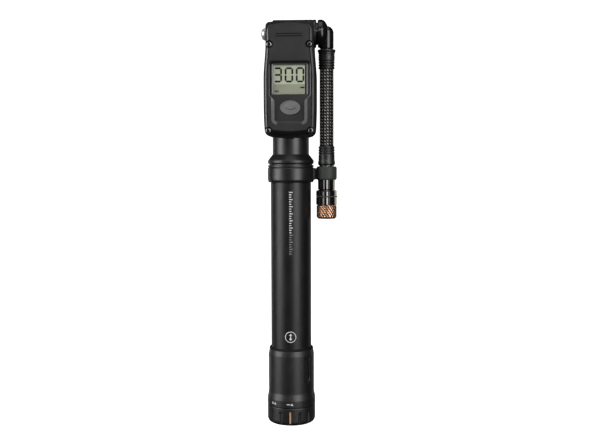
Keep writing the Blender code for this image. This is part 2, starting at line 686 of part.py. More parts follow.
def make_swivel():
    """The elbow turns in the valve body about the X axis and carries the hose."""
    on_axis = {"place": (0, 0, VALVE_Z), "axis": "X"}
    hub = [(0, 24.95), (2.6, 24.65), (4.85, 23.98), (6.45, 23.1), (8.0, 21.9), (8.85, 20.9),
           (9.1, 20.0), (9.1, 18.5), (8.9, 18.0), (7.2, 18.0)] + grooved(7.2, 6.1, 14.6, 16.1)
    hub += [(7.2, 13.2), (STEM_R, 13.2)] + grooved(STEM_R, 2.3, 5.55, 6.65)
    hub += [(STEM_R, 5.0), (0, 5.0)]
    elbow = turned("swivel_elbow", hub, HOSE, BLACK_PLASTIC, loop=False, steps=MEDIUM_STEPS,
                   **on_axis)
    leg = [(0, ELBOW_Z + ELBOW_R)] + arc((0, ELBOW_Z), ELBOW_R, 72, 0, 5)
    leg += [(ELBOW_R, ELBOW_LOW), (2.05, ELBOW_LOW), (2.05, 241.0), (0, 241.0)]
    join(elbow, turned("elbow_leg", leg, place=(HOSE_X, 0, 0), loop=False))
    passage_r = 1.3
    cut(elbow, cylinder("leg_passage", passage_r, 240.0, VALVE_Z + 1.2, place=(HOSE_X, 0, 0),
                        steps=TINY_STEPS))
    cut(elbow, cylinder("hub_passage", passage_r, 4.0, HOSE_X, steps=TINY_STEPS, **on_axis))
    seal("swivel_oring", 6.8, 0.4, 15.35, HOSE, **on_axis)
    tube("swivel_retaining_ring", 4.2, 2.6, 5.75, 6.45, HOSE, STEEL, **on_axis)


def make_hose():
    here = {"place": (HOSE_X, 0, 0)}
    shell_bore = HOSE_R + GAP
    tube("hose", HOSE_R, HOSE_BORE, HOSE_LOW, HOSE_TOP, HOSE, BRAID, **here)
    upper = [(5.2, 247.9), (FERRULE_RIM_R, 247.4), (FERRULE_RIM_R, 246.8), (FERRULE_R, 245.9),
             (FERRULE_R, 235.7), (5.0, 235.2), (shell_bore, 235.2), (shell_bore, 246.8),
             (HOSE_BORE, 246.8), (HOSE_BORE, 247.9)]
    turned("upper_ferrule", upper, HOSE, BLACK_PLASTIC, **here)
    lower = [(5.0, 184.7), (FERRULE_R, 184.2), (FERRULE_R, 175.6), (5.7, 174.0), (5.7, 172.9),
             (5.3, 172.2), (HOSE_BORE, 172.2), (HOSE_BORE, 173.1), (shell_bore, 173.1),
             (shell_bore, 184.7)]
    turned("lower_ferrule", lower, HOSE, BLACK_PLASTIC, **here)
    fitting = [(2.05, 181.0), (2.05, 171.9), (4.3, 171.9), (4.3, 171.4), (STEM_R, 171.4),
               (STEM_R, 164.6), (1.2, 164.6), (1.2, 181.0)]
    turned("hose_fitting", fitting, HOSE, BRASS, **here)


def make_chuck():
    here = {"place": (HOSE_X, 0, 0)}
    stem_r = 2.6
    barrel_low = SLEEVE_TOP + GAP
    barrel = [(5.35, 171.1), (CHUCK_R, 170.7), (CHUCK_R, barrel_low + 0.4), (5.45, barrel_low),
              (stem_r, barrel_low), (stem_r, 147.8), (3.6, 147.8), (3.6, 146.7), (1.6, 146.7),
              (1.6, 164.3), (BEARING_R, 164.3), (BEARING_R, 171.1)]
    turned("chuck_body", barrel, HOSE, GLOSS_BLACK, steps=MEDIUM_STEPS, **here)
    sleeve = [(5.7, SLEEVE_TOP), (6.45, SLEEVE_TOP - 0.3), (CHUCK_SLEEVE_R, SLEEVE_TOP - 0.7)]
    sleeve += grooved(CHUCK_SLEEVE_R, 6.2, 150.8, 152.0)
    sleeve += [(CHUCK_SLEEVE_R, 146.1), (6.5, 145.8), (4.95, 145.8), (4.95, 150.0),
               (stem_r + GAP, 150.0), (stem_r + GAP, SLEEVE_TOP)]
    turned("chuck_sleeve", sleeve, HOSE, GLOSS_BLACK, steps=MEDIUM_STEPS, **here)
    seal("chuck_ring", 6.68, 0.3, 151.4, HOSE, look=CLIP_GREY, **here)
    tube("valve_gland", 3.6, 1.5, 144.9, 146.3, HOSE, RUBBER, **here)
    pin = [(0, 148.5), (1.25, 148.5), (1.25, 147.0), (0.55, 147.0), (0.55, 142.0), (0, 142.0)]
    turned("depressor_pin", pin, HOSE, BRASS, loop=False, steps=TINY_STEPS, **here)
    knurl = [(4.55, 149.6), (4.55, 145.5), (6.0, 145.5), (KNURL_R, 145.2), (KNURL_R, 138.6),
             (5.5, KNURL_LOW), (4.3, KNURL_LOW), (3.95, KNURL_LOW + 0.4), (3.95, 148.2),
             (3.0, 148.2), (3.0, 149.6)]
    turned("knurled_collar", knurl, COLLAR, COPPER, steps=MEDIUM_STEPS, **here)


make_barrel()
make_end_plug()
make_plunger()
make_dial()
make_collar_and_neck()
make_hose_clip()
make_inner_tube()
make_rear_housing()
make_front_cover()
make_electronics()
make_power_button()
make_valve_body()
make_check_valve()
make_bleed_valve()
make_swivel()
make_hose()
make_chuck()
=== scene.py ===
"""The looks of the shock suspension pump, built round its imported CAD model.

Lengths are millimetres in the pump's own frame: it stands on its dial at Z = 0, its axis is the
Z axis, the display faces -Y and the hose hangs on the +X side. MM turns them into metres.
"""

import math

import bmesh
import bpy
from mathutils import Matrix, Quaternion, Vector
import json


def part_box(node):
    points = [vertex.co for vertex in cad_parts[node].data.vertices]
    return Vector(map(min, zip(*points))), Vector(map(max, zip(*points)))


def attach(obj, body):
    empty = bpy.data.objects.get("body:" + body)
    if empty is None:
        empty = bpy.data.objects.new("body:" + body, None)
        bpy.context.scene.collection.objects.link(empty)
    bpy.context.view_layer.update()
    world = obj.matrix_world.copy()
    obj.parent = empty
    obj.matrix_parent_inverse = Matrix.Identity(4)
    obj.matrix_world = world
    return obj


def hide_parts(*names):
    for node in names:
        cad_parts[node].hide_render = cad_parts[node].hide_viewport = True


MM = 0.001
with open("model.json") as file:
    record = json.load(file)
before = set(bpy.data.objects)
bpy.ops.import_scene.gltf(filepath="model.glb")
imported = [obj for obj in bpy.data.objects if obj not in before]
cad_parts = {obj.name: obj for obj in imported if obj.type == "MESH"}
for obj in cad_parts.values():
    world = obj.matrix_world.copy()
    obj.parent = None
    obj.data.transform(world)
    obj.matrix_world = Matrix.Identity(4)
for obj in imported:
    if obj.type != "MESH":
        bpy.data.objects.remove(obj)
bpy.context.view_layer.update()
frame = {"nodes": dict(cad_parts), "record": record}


def span(node):
    """Lowest and highest corner of a CAD node, in millimetres."""
    low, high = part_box(node)
    return low / MM, high / MM


# ---------------------------------------------------------------- camera and studio

CAMERA_AZIMUTH = 3.0
CAMERA_ELEVATION = 3.8
CAMERA_DISTANCE = 600.0
CAMERA_ROLL = -0.14
CAMERA_AIM = (2.65, 0.0, 134.645)
LENS = 54.9
STUDIO_RADIUS = 4.0


def direction(azimuth, elevation):
    """The way out from the pump's front towards a light or camera, in degrees."""
    a = math.radians(azimuth)
    e = math.radians(elevation)
    return Vector((math.sin(a) * math.cos(e), -math.cos(a) * math.cos(e), math.sin(e)))


def make_camera():
    data = bpy.data.cameras.new("camera")
    data.lens = LENS
    data.clip_start = 0.01
    camera = bpy.data.objects.new("camera", data)
    out = direction(CAMERA_AZIMUTH, CAMERA_ELEVATION)
    camera.location = (Vector(CAMERA_AIM) + out * CAMERA_DISTANCE) * MM
    roll = Quaternion((0, 0, 1), math.radians(CAMERA_ROLL))
    camera.rotation_euler = (out.to_track_quat("Z", "Y") @ roll).to_euler()
    bpy.context.scene.collection.objects.link(camera)
    bpy.context.scene.camera = camera


def softbox(name, azimuth, elevation, distance, width, height, brightness):
    """A soft area light, in metres, that faces the middle of the pump."""
    data = bpy.data.lights.new(name, "AREA")
    data.shape = "RECTANGLE"
    data.size = width
    data.size_y = height
    data.energy = brightness * math.pi * width * height
    lamp = bpy.data.objects.new(name, data)
    out = direction(azimuth, elevation)
    lamp.location = Vector(CAMERA_AIM) * MM + out * distance
    lamp.rotation_euler = out.to_track_quat("Z", "Y").to_euler()
    bpy.context.scene.collection.objects.link(lamp)
    return lamp


def make_studio():
    """A pale round floor that curves up into a pale wall, and soft lights round the pump."""
    profile = [(0, 0), (STUDIO_RADIUS - 1.5, 0)]
    profile += arc((STUDIO_RADIUS - 1.5, 1.5), 1.5, -90, 0, 12)
    profile += [(STUDIO_RADIUS, 4.5)]
    bm = bmesh.new()
    verts = [bm.verts.new((radius, 0, height)) for radius, height in profile]
    edges = [bm.edges.new(pair) for pair in zip(verts, verts[1:])]
    bmesh.ops.spin(bm, geom=verts + edges, cent=(0, 0, 0), axis=(0, 0, 1),
                   angle=math.radians(360), steps=64, use_merge=True)
    bmesh.ops.remove_doubles(bm, verts=bm.verts, dist=1e-5)
    mesh = bpy.data.meshes.new("studio_floor")
    bm.to_mesh(mesh)
    bm.free()
    mesh.shade_smooth()
    paper = bpy.data.materials.new("white_paper")
    paper.use_nodes = True
    shader = paper.node_tree.nodes["Principled BSDF"]
    shader.inputs["Base Color"].default_value = (0.9, 0.9, 0.9, 1)
    shader.inputs["Roughness"].default_value = 0.9
    shader.inputs["Specular IOR Level"].default_value = 0.0
    shader.inputs["Emission Color"].default_value = (1, 1, 1, 1)
    shader.inputs["Emission Strength"].default_value = 1.2
    mesh.materials.append(paper)
    floor = bpy.data.objects.new("studio_floor", mesh)
    bpy.context.scene.collection.objects.link(floor)
    floor.visible_glossy = False
    floor.visible_diffuse = False
    floor.visible_transmission = False
    floor.visible_shadow = False

    world = bpy.data.worlds.new("studio")
    world.use_nodes = True
    world.node_tree.nodes["Background"].inputs["Color"].default_value = (1, 1, 1, 1)
    world.node_tree.nodes["Background"].inputs["Strength"].default_value = 0.015
    bpy.context.scene.world = world
    bpy.context.scene.view_settings.view_transform = "Standard"

    softbox("key_right", 35, 14, 1.3, 0.70, 1.3, 3.6)
    softbox("key_left", -66, 14, 1.3, 0.80, 1.3, 3.8)
    softbox("front_fill", 4, 30, 1.6, 0.5, 0.3, 4.0)
    softbox("top", 20, 80, 1.2, 0.9, 0.9, 0.9)
    softbox("rim_right", 140, -4, 1.4, 0.4, 0.8, 0.5)
    softbox("rim_left", -140, 0, 1.4, 0.4, 1.0, 0.9)


def light_chuck(polished, braid):
    """The polished chuck and the braid mirror narrow strips of light, not the two broad ones."""
    own = bpy.data.collections.new("lit_by_strips")
    rim = bpy.data.collections.new("lit_from_the_far_side")
    apart = bpy.data.collections.new("not_lit_by_keys")
    for made in polished + [braid]:
        own.objects.link(made)
        apart.objects.link(made)
    for made in polished:
        rim.objects.link(made)
    for member in apart.collection_objects:
        member.light_linking.link_state = "EXCLUDE"
    for name in ("key_right", "key_left", "front_fill"):
        bpy.data.objects[name].light_linking.receiver_collection = apart
    for name, azimuth, width, brightness, colour, lit in (
            ("strip_front", 9, 0.30, 7.0, (1.0, 0.98, 0.98), own),
            ("strip_right", 29, 0.50, 0.8, (1.0, 0.86, 0.74), own),
            ("strip_left", -33, 0.42, 2.0, (1.0, 0.97, 0.86), rim),
            ("strip_far", 132, 1.60, 2.0, (1.0, 0.96, 0.86), rim)):
        lamp = softbox(name, azimuth, 4, 1.3, width, 1.3, brightness)
        lamp.data.color = colour
        lamp.light_linking.receiver_collection = lit


# ---------------------------------------------------------------- shape helpers

MOST_FINISHES = 3
AXES = {
    "Z": Matrix.Identity(4),
    "X": Matrix.Rotation(math.radians(90), 4, "Y"),
    "Y": Matrix.Rotation(math.radians(-90), 4, "X"),
    "-Y": Matrix.Rotation(math.radians(90), 4, "X"),
}


def arc(centre, radius, start, stop, count):
    """Points on an arc, from one angle to another in degrees."""
    points = []
    for i in range(count):
        angle = math.radians(start + (stop - start) * i / (count - 1))
        points.append((centre[0] + radius * math.cos(angle), centre[1] + radius * math.sin(angle)))
    return points


def eased(profile, closed=True, steps=4):
    """Rounds the corners of a profile of (radius, height, reach), where a reach is given."""
    points = []
    last = len(profile) - 1
    for i, corner in enumerate(profile):
        here = Vector(corner[:2])
        reach = corner[2] if len(corner) > 2 else 0
        if not reach or (not closed and i in (0, last)):
            points.append(tuple(here))
            continue
        back = Vector(profile[i - 1][:2]) - here
        ahead = Vector(profile[(i + 1) % len(profile)][:2]) - here
        start = here + back.normalized() * min(reach, 0.48 * back.length)
        stop = here + ahead.normalized() * min(reach, 0.48 * ahead.length)
        for k in range(steps + 1):
            t = k / steps
            points.append(tuple(start * (1 - t) ** 2 + here * (2 * t * (1 - t)) + stop * t ** 2))
    return points


def dense(start, stop, count):
    """Points from start to stop, without the last."""
    return [tuple(a + (b - a) * i / count for a, b in zip(start, stop)) for i in range(count)]


def skin(rings, loop=False, finishes=()):
    """Faces between neighbouring rings of points. Without loop, both ends are closed.

    finishes gives the faces between one ring and the next another of the piece's finishes."""
    bm = bmesh.new()
    rows = [[bm.verts.new(Vector(point) * MM) for point in ring] for ring in rings]
    pairs = list(zip(rows, rows[1:]))
    if loop:
        pairs.append((rows[-1], rows[0]))
    count = len(rows[0])
    for number, (one, other) in enumerate(pairs):
        for i in range(count):
            j = (i + 1) % count
            face = bm.faces.new((one[i], one[j], other[j], other[i]))
            face.material_index = finishes[number] if number < len(finishes) else 0
    if not loop:
        bm.faces.new(rows[0][::-1])
        bm.faces.new(rows[-1])
    bmesh.ops.remove_doubles(bm, verts=bm.verts, dist=1e-7)
    bmesh.ops.recalc_face_normals(bm, faces=bm.faces)
    return bm


def turned(profile, place=(0, 0, 0), axis="Z", closed=True, steps=96, relief=None):
    """A profile turned about an axis. relief(angle, radius, height) is added to the radius."""
    rings = []
    for radius, height in profile:
        ring = []
        for i in range(steps):
            angle = 2 * math.pi * i / steps
            far = radius + relief(angle, radius, height) if relief else radius
            ring.append((far * math.cos(angle), far * math.sin(angle), height))
        rings.append(ring)
    bm = skin(rings, loop=closed)
    move = Matrix.Translation(Vector(place) * MM) @ AXES[axis]
    bmesh.ops.transform(bm, matrix=move, verts=bm.verts)
    return bm


def rod(radius, start, stop, place=(0, 0, 0), axis="Z", steps=96):
    """A plain round bar between two places along its axis, mostly used as a cutter."""
    return turned([(0, start), (radius, start), (radius, stop), (0, stop)], place=place,
                  axis=axis, closed=False, steps=steps)


def at_depth(outline, depth):
    """An outline of (x, z) points at y = -depth."""
    return [(x, -depth, z) for x, z in outline]


def prism(outline, *depths):
    """A front-view outline carried from one depth to another."""
    return skin([at_depth(outline, depth) for depth in depths])


def rounded_slab(half, low, high, radius):
    """A rounded rectangle about x = 0, as (x, z) points."""
    corners = ((half - radius, low + radius, -90), (half - radius, high - radius, 0),
               (radius - half, high - radius, 90), (radius - half, low + radius, 180))
    points = []
    for x, z, start in corners:
        points += arc((x, z), radius, start, start + 90, 6)
    return points


def angles(count):
    return [2 * math.pi * i / count for i in range(count)]


def finished(bm, finish, where=lambda spot: True, instead_of=None):
    """Gives a shape's faces, or those in some places, another of the piece's finishes."""
    for face in bm.faces:
        if instead_of in (None, face.material_index) and where(face.calc_center_median() / MM):
            face.material_index = finish
    return bm


def carved(bm, others, operation="DIFFERENCE"):
    """The shape with the others cut away or joined. Cut faces have their cutter's finish."""
    base = temporary(bm)
    for other in others:
        tool = temporary(other)
        step = base.modifiers.new("step", "BOOLEAN")
        step.operation = operation
        step.solver = "EXACT"
        step.object = tool
        bpy.context.view_layer.update()
        mesh = bpy.data.meshes.new_from_object(
            base.evaluated_get(bpy.context.evaluated_depsgraph_get()))
        base.modifiers.remove(step)
        base.data = mesh
        bpy.data.objects.remove(tool, do_unlink=True)
    made = bmesh.new()
    made.from_mesh(base.data)
    bpy.data.objects.remove(base, do_unlink=True)
    return made


def temporary(bm):
    """An object for one boolean step. Its empty slots keep the faces' finishes apart."""
    mesh = bpy.data.meshes.new("temporary")
    bm.to_mesh(mesh)
    bm.free()
    for _ in range(MOST_FINISHES):
        mesh.materials.append(None)
    made = bpy.data.objects.new("temporary", mesh)
    bpy.context.scene.collection.objects.link(made)
    return made


def piece(name, bm, body, look, *nodes, crisp=30, others=()):
    """Makes the visible piece, which rides on a body and stands for the CAD nodes."""
    mesh = bpy.data.meshes.new(name)
    bm.to_mesh(mesh)
    bm.free()
    mesh.shade_smooth()
    mesh.set_sharp_from_angle(angle=math.radians(crisp))
    for finish in (look, *others):
        mesh.materials.append(LOOKS[finish])
    made = bpy.data.objects.new(name, mesh)
    bpy.context.scene.collection.objects.link(made)
    level = made.modifiers.new("even_shading", "WEIGHTED_NORMAL")
    level.keep_sharp = True
    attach(made, body)
    if nodes:
        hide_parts(*nodes)
    return made


def merged(shapes):
    """Several separate shapes as one mesh."""
    whole = bmesh.new()
    for bm in shapes:
        mesh = bpy.data.meshes.new("shape")
        bm.to_mesh(mesh)
        bm.free()
        whole.from_mesh(mesh)
        bpy.data.meshes.remove(mesh)
    return whole


def smooth_step(value):
    """0 up to value 0, 1 from value 1, with an easy curve between."""
    t = min(max(value, 0.0), 1.0)
    return t * t * (3 - 2 * t)


# ---------------------------------------------------------------- materials


def add(tree, kind, values=None, **settings):
    """A shader node with its settings and socket values."""
    made = tree.nodes.new(kind)
    for key, value in settings.items():
        setattr(made, key, value)
    for key, value in (values or {}).items():
        made.inputs[key].default_value = value
    return made


def noise(tree, size, detail, stretch=(1, 1, 1)):
    """Noise whose features are about size millimetres, fixed to the piece."""
    place = add(tree, "ShaderNodeTexCoord")
    scale = add(tree, "ShaderNodeMapping", {"Scale": stretch})
    made = add(tree, "ShaderNodeTexNoise", {"Scale": 1 / (size * MM), "Detail": detail})
    tree.links.new(place.outputs["Object"], scale.inputs["Vector"])
    tree.links.new(scale.outputs["Vector"], made.inputs["Vector"])
    return made.outputs["Fac"]


def ranged(tree, value, low, high):
    """Spreads a noise value over the range from low to high."""
    made = add(tree, "ShaderNodeMapRange", {"From Min": 0.3, "From Max": 0.7, "To Min": low,
                                            "To Max": high})
    tree.links.new(value, made.inputs["Value"])
    return made.outputs["Result"]


def blended(tree, value, low, high):
    """A colour between two, by a noise value."""
    made = add(tree, "ShaderNodeMix", data_type="RGBA")
    made.inputs["A"].default_value = (*low, 1)
    made.inputs["B"].default_value = (*high, 1)
    tree.links.new(value, made.inputs["Factor"])
    return made.outputs["Result"]


def bumped(tree, shader, height, depth):
    """Raises the surface by a height value, up to depth millimetres."""
    made = add(tree, "ShaderNodeBump", {"Strength": 1.0, "Distance": depth * MM})
    tree.links.new(height, made.inputs["Height"])
    tree.links.new(made.outputs["Normal"], shader.inputs["Normal"])


def surface(name, low, high, rough, metallic=0.0, patches=9.0, grain=0.3, depth=0.01,
            stretch=(1, 1, 1), **sockets):
    """A finish with soft patches of colour and gloss and a fine grain."""
    made = bpy.data.materials.new(name)
    made.use_nodes = True
    tree = made.node_tree
    shader = tree.nodes["Principled BSDF"]
    shader.inputs["Metallic"].default_value = metallic
    for key, value in sockets.items():
        shader.inputs[key.replace("_", " ")].default_value = value
    cloud = noise(tree, patches, 3.0)
    tree.links.new(blended(tree, ranged(tree, cloud, 0, 1), low, high),
                   shader.inputs["Base Color"])
    fine = noise(tree, grain, 2.0, stretch)
    gloss = add(tree, "ShaderNodeMath", operation="ADD")
    tree.links.new(ranged(tree, cloud, rough[0], rough[1]), gloss.inputs[0])
    tree.links.new(ranged(tree, fine, -0.03, 0.03), gloss.inputs[1])
    tree.links.new(gloss.outputs["Value"], shader.inputs["Roughness"])
    bumped(tree, shader, fine, depth)
    return made


def display_glass():
    """Clear polished plastic: it lets the display through and mirrors a little."""
    made = bpy.data.materials.new("lens_clear")
    made.use_nodes = True
    tree = made.node_tree
    tree.nodes.remove(tree.nodes["Principled BSDF"])
    clear = add(tree, "ShaderNodeBsdfTransparent", {"Color": (0.97, 0.98, 0.97, 1)})
    gloss = add(tree, "ShaderNodeBsdfGlossy")
    mix = add(tree, "ShaderNodeMixShader")
    edge_on = add(tree, "ShaderNodeLayerWeight", {"Blend": 0.5})
    steep = add(tree, "ShaderNodeMath", {1: 5.0}, operation="POWER")
    share = add(tree, "ShaderNodeMapRange", {"To Min": 0.035, "To Max": 0.9})
    tree.links.new(edge_on.outputs["Facing"], steep.inputs[0])
    tree.links.new(steep.outputs["Value"], share.inputs["Value"])
    smears = ranged(tree, noise(tree, 7.0, 4.0), 0.02, 0.09)
    tree.links.new(smears, gloss.inputs["Roughness"])
    tree.links.new(share.outputs["Result"], mix.inputs["Fac"])
    tree.links.new(clear.outputs["BSDF"], mix.inputs[1])
    tree.links.new(gloss.outputs["BSDF"], mix.inputs[2])
    tree.links.new(mix.outputs["Shader"], tree.nodes["Material Output"].inputs["Surface"])
    return made


FINISHES = {
    "black_anodised": dict(
        low=(0.0045, 0.0045, 0.005), high=(0.007, 0.007, 0.0075), rough=(0.38, 0.44), grain=0.16,
        depth=0.006, Specular_IOR_Level=0.6),
    "turned_black": dict(
        low=(0.0045, 0.0045, 0.005), high=(0.007, 0.007, 0.0075), rough=(0.34, 0.40), grain=0.55,
        depth=0.05, Specular_IOR_Level=0.85),
    "black_plastic": dict(
        low=(0.007, 0.007, 0.0075), high=(0.011, 0.011, 0.0115), rough=(0.38, 0.44), grain=0.55,
        depth=0.055, Specular_IOR_Level=0.85),
    "moulded_black": dict(
        low=(0.004, 0.004, 0.0045), high=(0.006, 0.006, 0.0065), rough=(0.30, 0.38), grain=0.22,
        depth=0.008),
    "gloss_moulding": dict(
        low=(0.004, 0.004, 0.0045), high=(0.006, 0.006, 0.0065), rough=(0.20, 0.26), grain=0.25,
        depth=0.004, Specular_IOR_Level=0.75),
    "cover_grey": dict(
        low=(0.029, 0.029, 0.031), high=(0.035, 0.035, 0.037), rough=(0.34, 0.40), grain=0.40,
        depth=0.012),
    # painted highlight: a much lighter grey for the cover's bevels and chamfers, standing in for
    # the side lights falling on them
    "cover_painted_highlight": dict(
        low=(0.135, 0.135, 0.138), high=(0.165, 0.165, 0.168), rough=(0.24, 0.32), grain=0.20,
        depth=0.004, Specular_IOR_Level=0.8),
    "deep_shade": dict(
        low=(0.004, 0.004, 0.004), high=(0.007, 0.007, 0.007), rough=(0.60, 0.70), grain=0.20,
        depth=0.004, Specular_IOR_Level=0.3),
    "clip_grey": dict(
        low=(0.038, 0.042, 0.038), high=(0.050, 0.055, 0.050), rough=(0.50, 0.58), grain=0.22,
        depth=0.012),
    "ring_grey": dict(
        low=(0.060, 0.066, 0.062), high=(0.080, 0.086, 0.082), rough=(0.45, 0.55), grain=0.22,
        depth=0.006),
    "button_rubber": dict(
        low=(0.165, 0.165, 0.17), high=(0.195, 0.195, 0.20), rough=(0.52, 0.60), grain=0.15,
        depth=0.006),
    "black_rubber": dict(
        low=(0.010, 0.010, 0.010), high=(0.016, 0.016, 0.016), rough=(0.62, 0.75), grain=0.12,
        depth=0.006),
    "hose_braid": dict(
        low=(0.006, 0.006, 0.006), high=(0.012, 0.012, 0.012), rough=(0.34, 0.44), patches=2.0,
        grain=0.08, depth=0.004),
    # painted highlight: a light metallic grey on the crests of one set of the braid's yarns
    "braid_painted_highlight": dict(
        low=(0.52, 0.52, 0.52), high=(0.64, 0.64, 0.64), rough=(0.34, 0.42), metallic=0.55,
        patches=1.2, grain=0.08, depth=0.004),
    "chrome": dict(
        low=(0.80, 0.80, 0.81), high=(0.86, 0.86, 0.87), rough=(0.24, 0.30), metallic=0.55,
        grain=0.3, depth=0.0006),
    "steel": dict(
        low=(0.50, 0.50, 0.52), high=(0.60, 0.60, 0.62), rough=(0.24, 0.36), metallic=1.0,
        grain=0.15, depth=0.002, stretch=(1, 1, 0.08)),
    "black_screw": dict(
        low=(0.20, 0.20, 0.21), high=(0.28, 0.28, 0.29), rough=(0.30, 0.38), metallic=1.0,
        patches=1.5, grain=0.10, depth=0.003),
    "brass": dict(
        low=(0.62, 0.43, 0.18), high=(0.76, 0.56, 0.26), rough=(0.12, 0.18), metallic=1.0,
        grain=0.12, depth=0.002, stretch=(1, 1, 0.1)),
    "gloss_black_chuck": dict(
        low=(0.006, 0.006, 0.008), high=(0.009, 0.009, 0.012), rough=(0.05, 0.09), patches=6.0,
        grain=0.4, depth=0.0004, IOR=1.9),
    "copper_collar": dict(
        low=(0.86, 0.46, 0.27), high=(0.96, 0.58, 0.38), rough=(0.24, 0.34), metallic=0.9,
        patches=1.2, grain=0.10, depth=0.004),
    # painted shade: a much darker copper for the hollows of the knurl
    "copper_painted_groove_shade": dict(
        low=(0.07, 0.035, 0.02), high=(0.11, 0.055, 0.035), rough=(0.40, 0.55), metallic=0.7,
        patches=1.2, grain=0.10, depth=0.004),
    "index_orange": dict(
        low=(0.62, 0.34, 0.18), high=(0.70, 0.40, 0.22), rough=(0.45, 0.55), patches=2.0,
        grain=0.12, depth=0.006),
    "inner_aluminium": dict(
        low=(0.56, 0.56, 0.58), high=(0.66, 0.66, 0.68), rough=(0.22, 0.32), metallic=1.0,
        grain=0.10, depth=0.002, stretch=(1, 1, 0.05)),
    "bearing_plastic": dict(
        low=(0.68, 0.67, 0.62), high=(0.78, 0.77, 0.73), rough=(0.42, 0.55), grain=0.3,
        depth=0.006),
    "display_glass": dict(
        low=(0.69, 0.70, 0.53), high=(0.75, 0.77, 0.61), rough=(0.30, 0.36), patches=14.0,
        grain=0.35, depth=0.001),
    "display_shade": dict(
        low=(0.45, 0.45, 0.34), high=(0.49, 0.49, 0.39), rough=(0.30, 0.36), patches=9.0,
        grain=0.35, depth=0.001),
    # dark display ink: the digits' print, and also a painted shadow along the display's right edge
    "display_ink_and_painted_shadow": dict(
        low=(0.008, 0.010, 0.020), high=(0.012, 0.015, 0.028), rough=(0.30, 0.40), patches=3.0,
        grain=0.2, depth=0.001),
    "white_ink": dict(
        low=(0.84, 0.84, 0.83), high=(0.92, 0.92, 0.91), rough=(0.45, 0.6), patches=1.5, grain=0.1,
        depth=0.003),
    "grey_ink": dict(
        low=(0.26, 0.26, 0.26), high=(0.34, 0.34, 0.34), rough=(0.45, 0.6), patches=1.5, grain=0.1,
        depth=0.003),
    "circuit_green": dict(
        low=(0.015, 0.10, 0.045), high=(0.03, 0.17, 0.075), rough=(0.30, 0.45), patches=2.5,
        grain=0.4, depth=0.01),
}


def make_looks():
    looks = {name: surface(name, **values) for name, values in FINISHES.items()}
    looks["lens_clear"] = display_glass()
    return looks


# ---------------------------------------------------------------- barrel, grip and dial

def make_barrel():
    low, high = span("barrel_tube")
    outer = high.x
    bore = 12.1
    profile = eased([(outer, high.z, 0.5), (outer, low.z, 0.3), (bore, low.z), (bore, high.z, 0.4)])
    piece("barrel_shell", turned(profile, steps=160), "barrel", "black_anodised", "barrel_tube")
    low, high = span("barrel_guide_bush")
    bush = eased([(high.x, high.z, 0.4), (high.x, low.z, 0.4), (9.3, low.z, 0.3),
                  (9.3, high.z, 0.5)])
    piece("guide_bush_ring", turned(bush, steps=96), "barrel", "bearing_plastic",
          "barrel_guide_bush")


def make_grip():
    low, high = span("handle_sleeve")
    foot = high.x
    main = foot - 0.8
    bore = span("barrel_tube")[1].x + 0.3
    outer = [(main - 0.6, high.z, 0.1), (main - 0.55, high.z - 0.9, 0.05),
             (main, high.z - 4.2, 0.15), (main, low.z + 8.7, 0.4),
             (foot, low.z + 4.6, 0.25), (foot, low.z, 0.25), (bore, low.z),
             (bore, high.z + 0.5), (bore + 0.4, high.z + 0.5), (bore + 0.4, high.z)]
    points = []
    for one, other in zip(eased(outer), eased(outer)[1:] + eased(outer)[:1]):
        points += dense(one, other, 24 if abs(one[1] - other[1]) > 15 and one[0] > 15 else 1)
    grip = turned(points, steps=288, relief=grip_relief(high.z))
    # The top 0.9 mm of the grip is painted with shade: a dark ring where the barrel enters it.
    grip = finished(grip, 1, lambda spot: spot.z > high.z - 0.9)
    piece("grip_sleeve", grip, "barrel", "black_plastic", "handle_sleeve", others=("deep_shade",))


GRIP_FLUTES = (48.0, 168.0, 288.0)
GRIP_FLUTE_HALF = 2.6
GRIP_FLUTE_DEPTH = 0.5


def grip_relief(top):
    """Three long shallow pockets in the grip."""
    def relief(angle, radius, height):
        if radius < 15.0:
            return 0.0
        depth = 0.0
        for spot in GRIP_FLUTES:
            off = math.degrees(angle) + 90 - spot
            off = (off + 180) % 360 - 180
            across = math.radians(off) * radius / GRIP_FLUTE_HALF
            past = max(0.0, height - (top - 6.5), (top - 19.7) - height) / GRIP_FLUTE_HALF
            away = min(1.0, math.hypot(across, past))
            depth += smooth_step(7 * (1 - away))
        return -GRIP_FLUTE_DEPTH * depth
    return relief


DIAL_FLUTES = 15
DIAL_FLUTE_R = 1.25
DIAL_FLUTE_DEPTH = 0.75


def dial_relief(outer, top):
    """Ball-ended flutes round the dial. The one in front is flat for the index line."""
    def relief(angle, radius, height):
        if radius < 12.5:
            return 0.0
        pitch = 2 * math.pi / DIAL_FLUTES
        turn = angle + math.pi / 2
        number = round(turn / pitch)
        if number % DIAL_FLUTES == 0:
            return 0.0
        across = (turn - number * pitch) * outer
        past = max(0.0, height - top)
        away = min(1.0, math.hypot(across, past) / DIAL_FLUTE_R)
        depth = DIAL_FLUTE_DEPTH * (1 - away ** 2) * smooth_step(4 * (1 - away))
        return min(0.0, outer - depth - radius)
    return relief


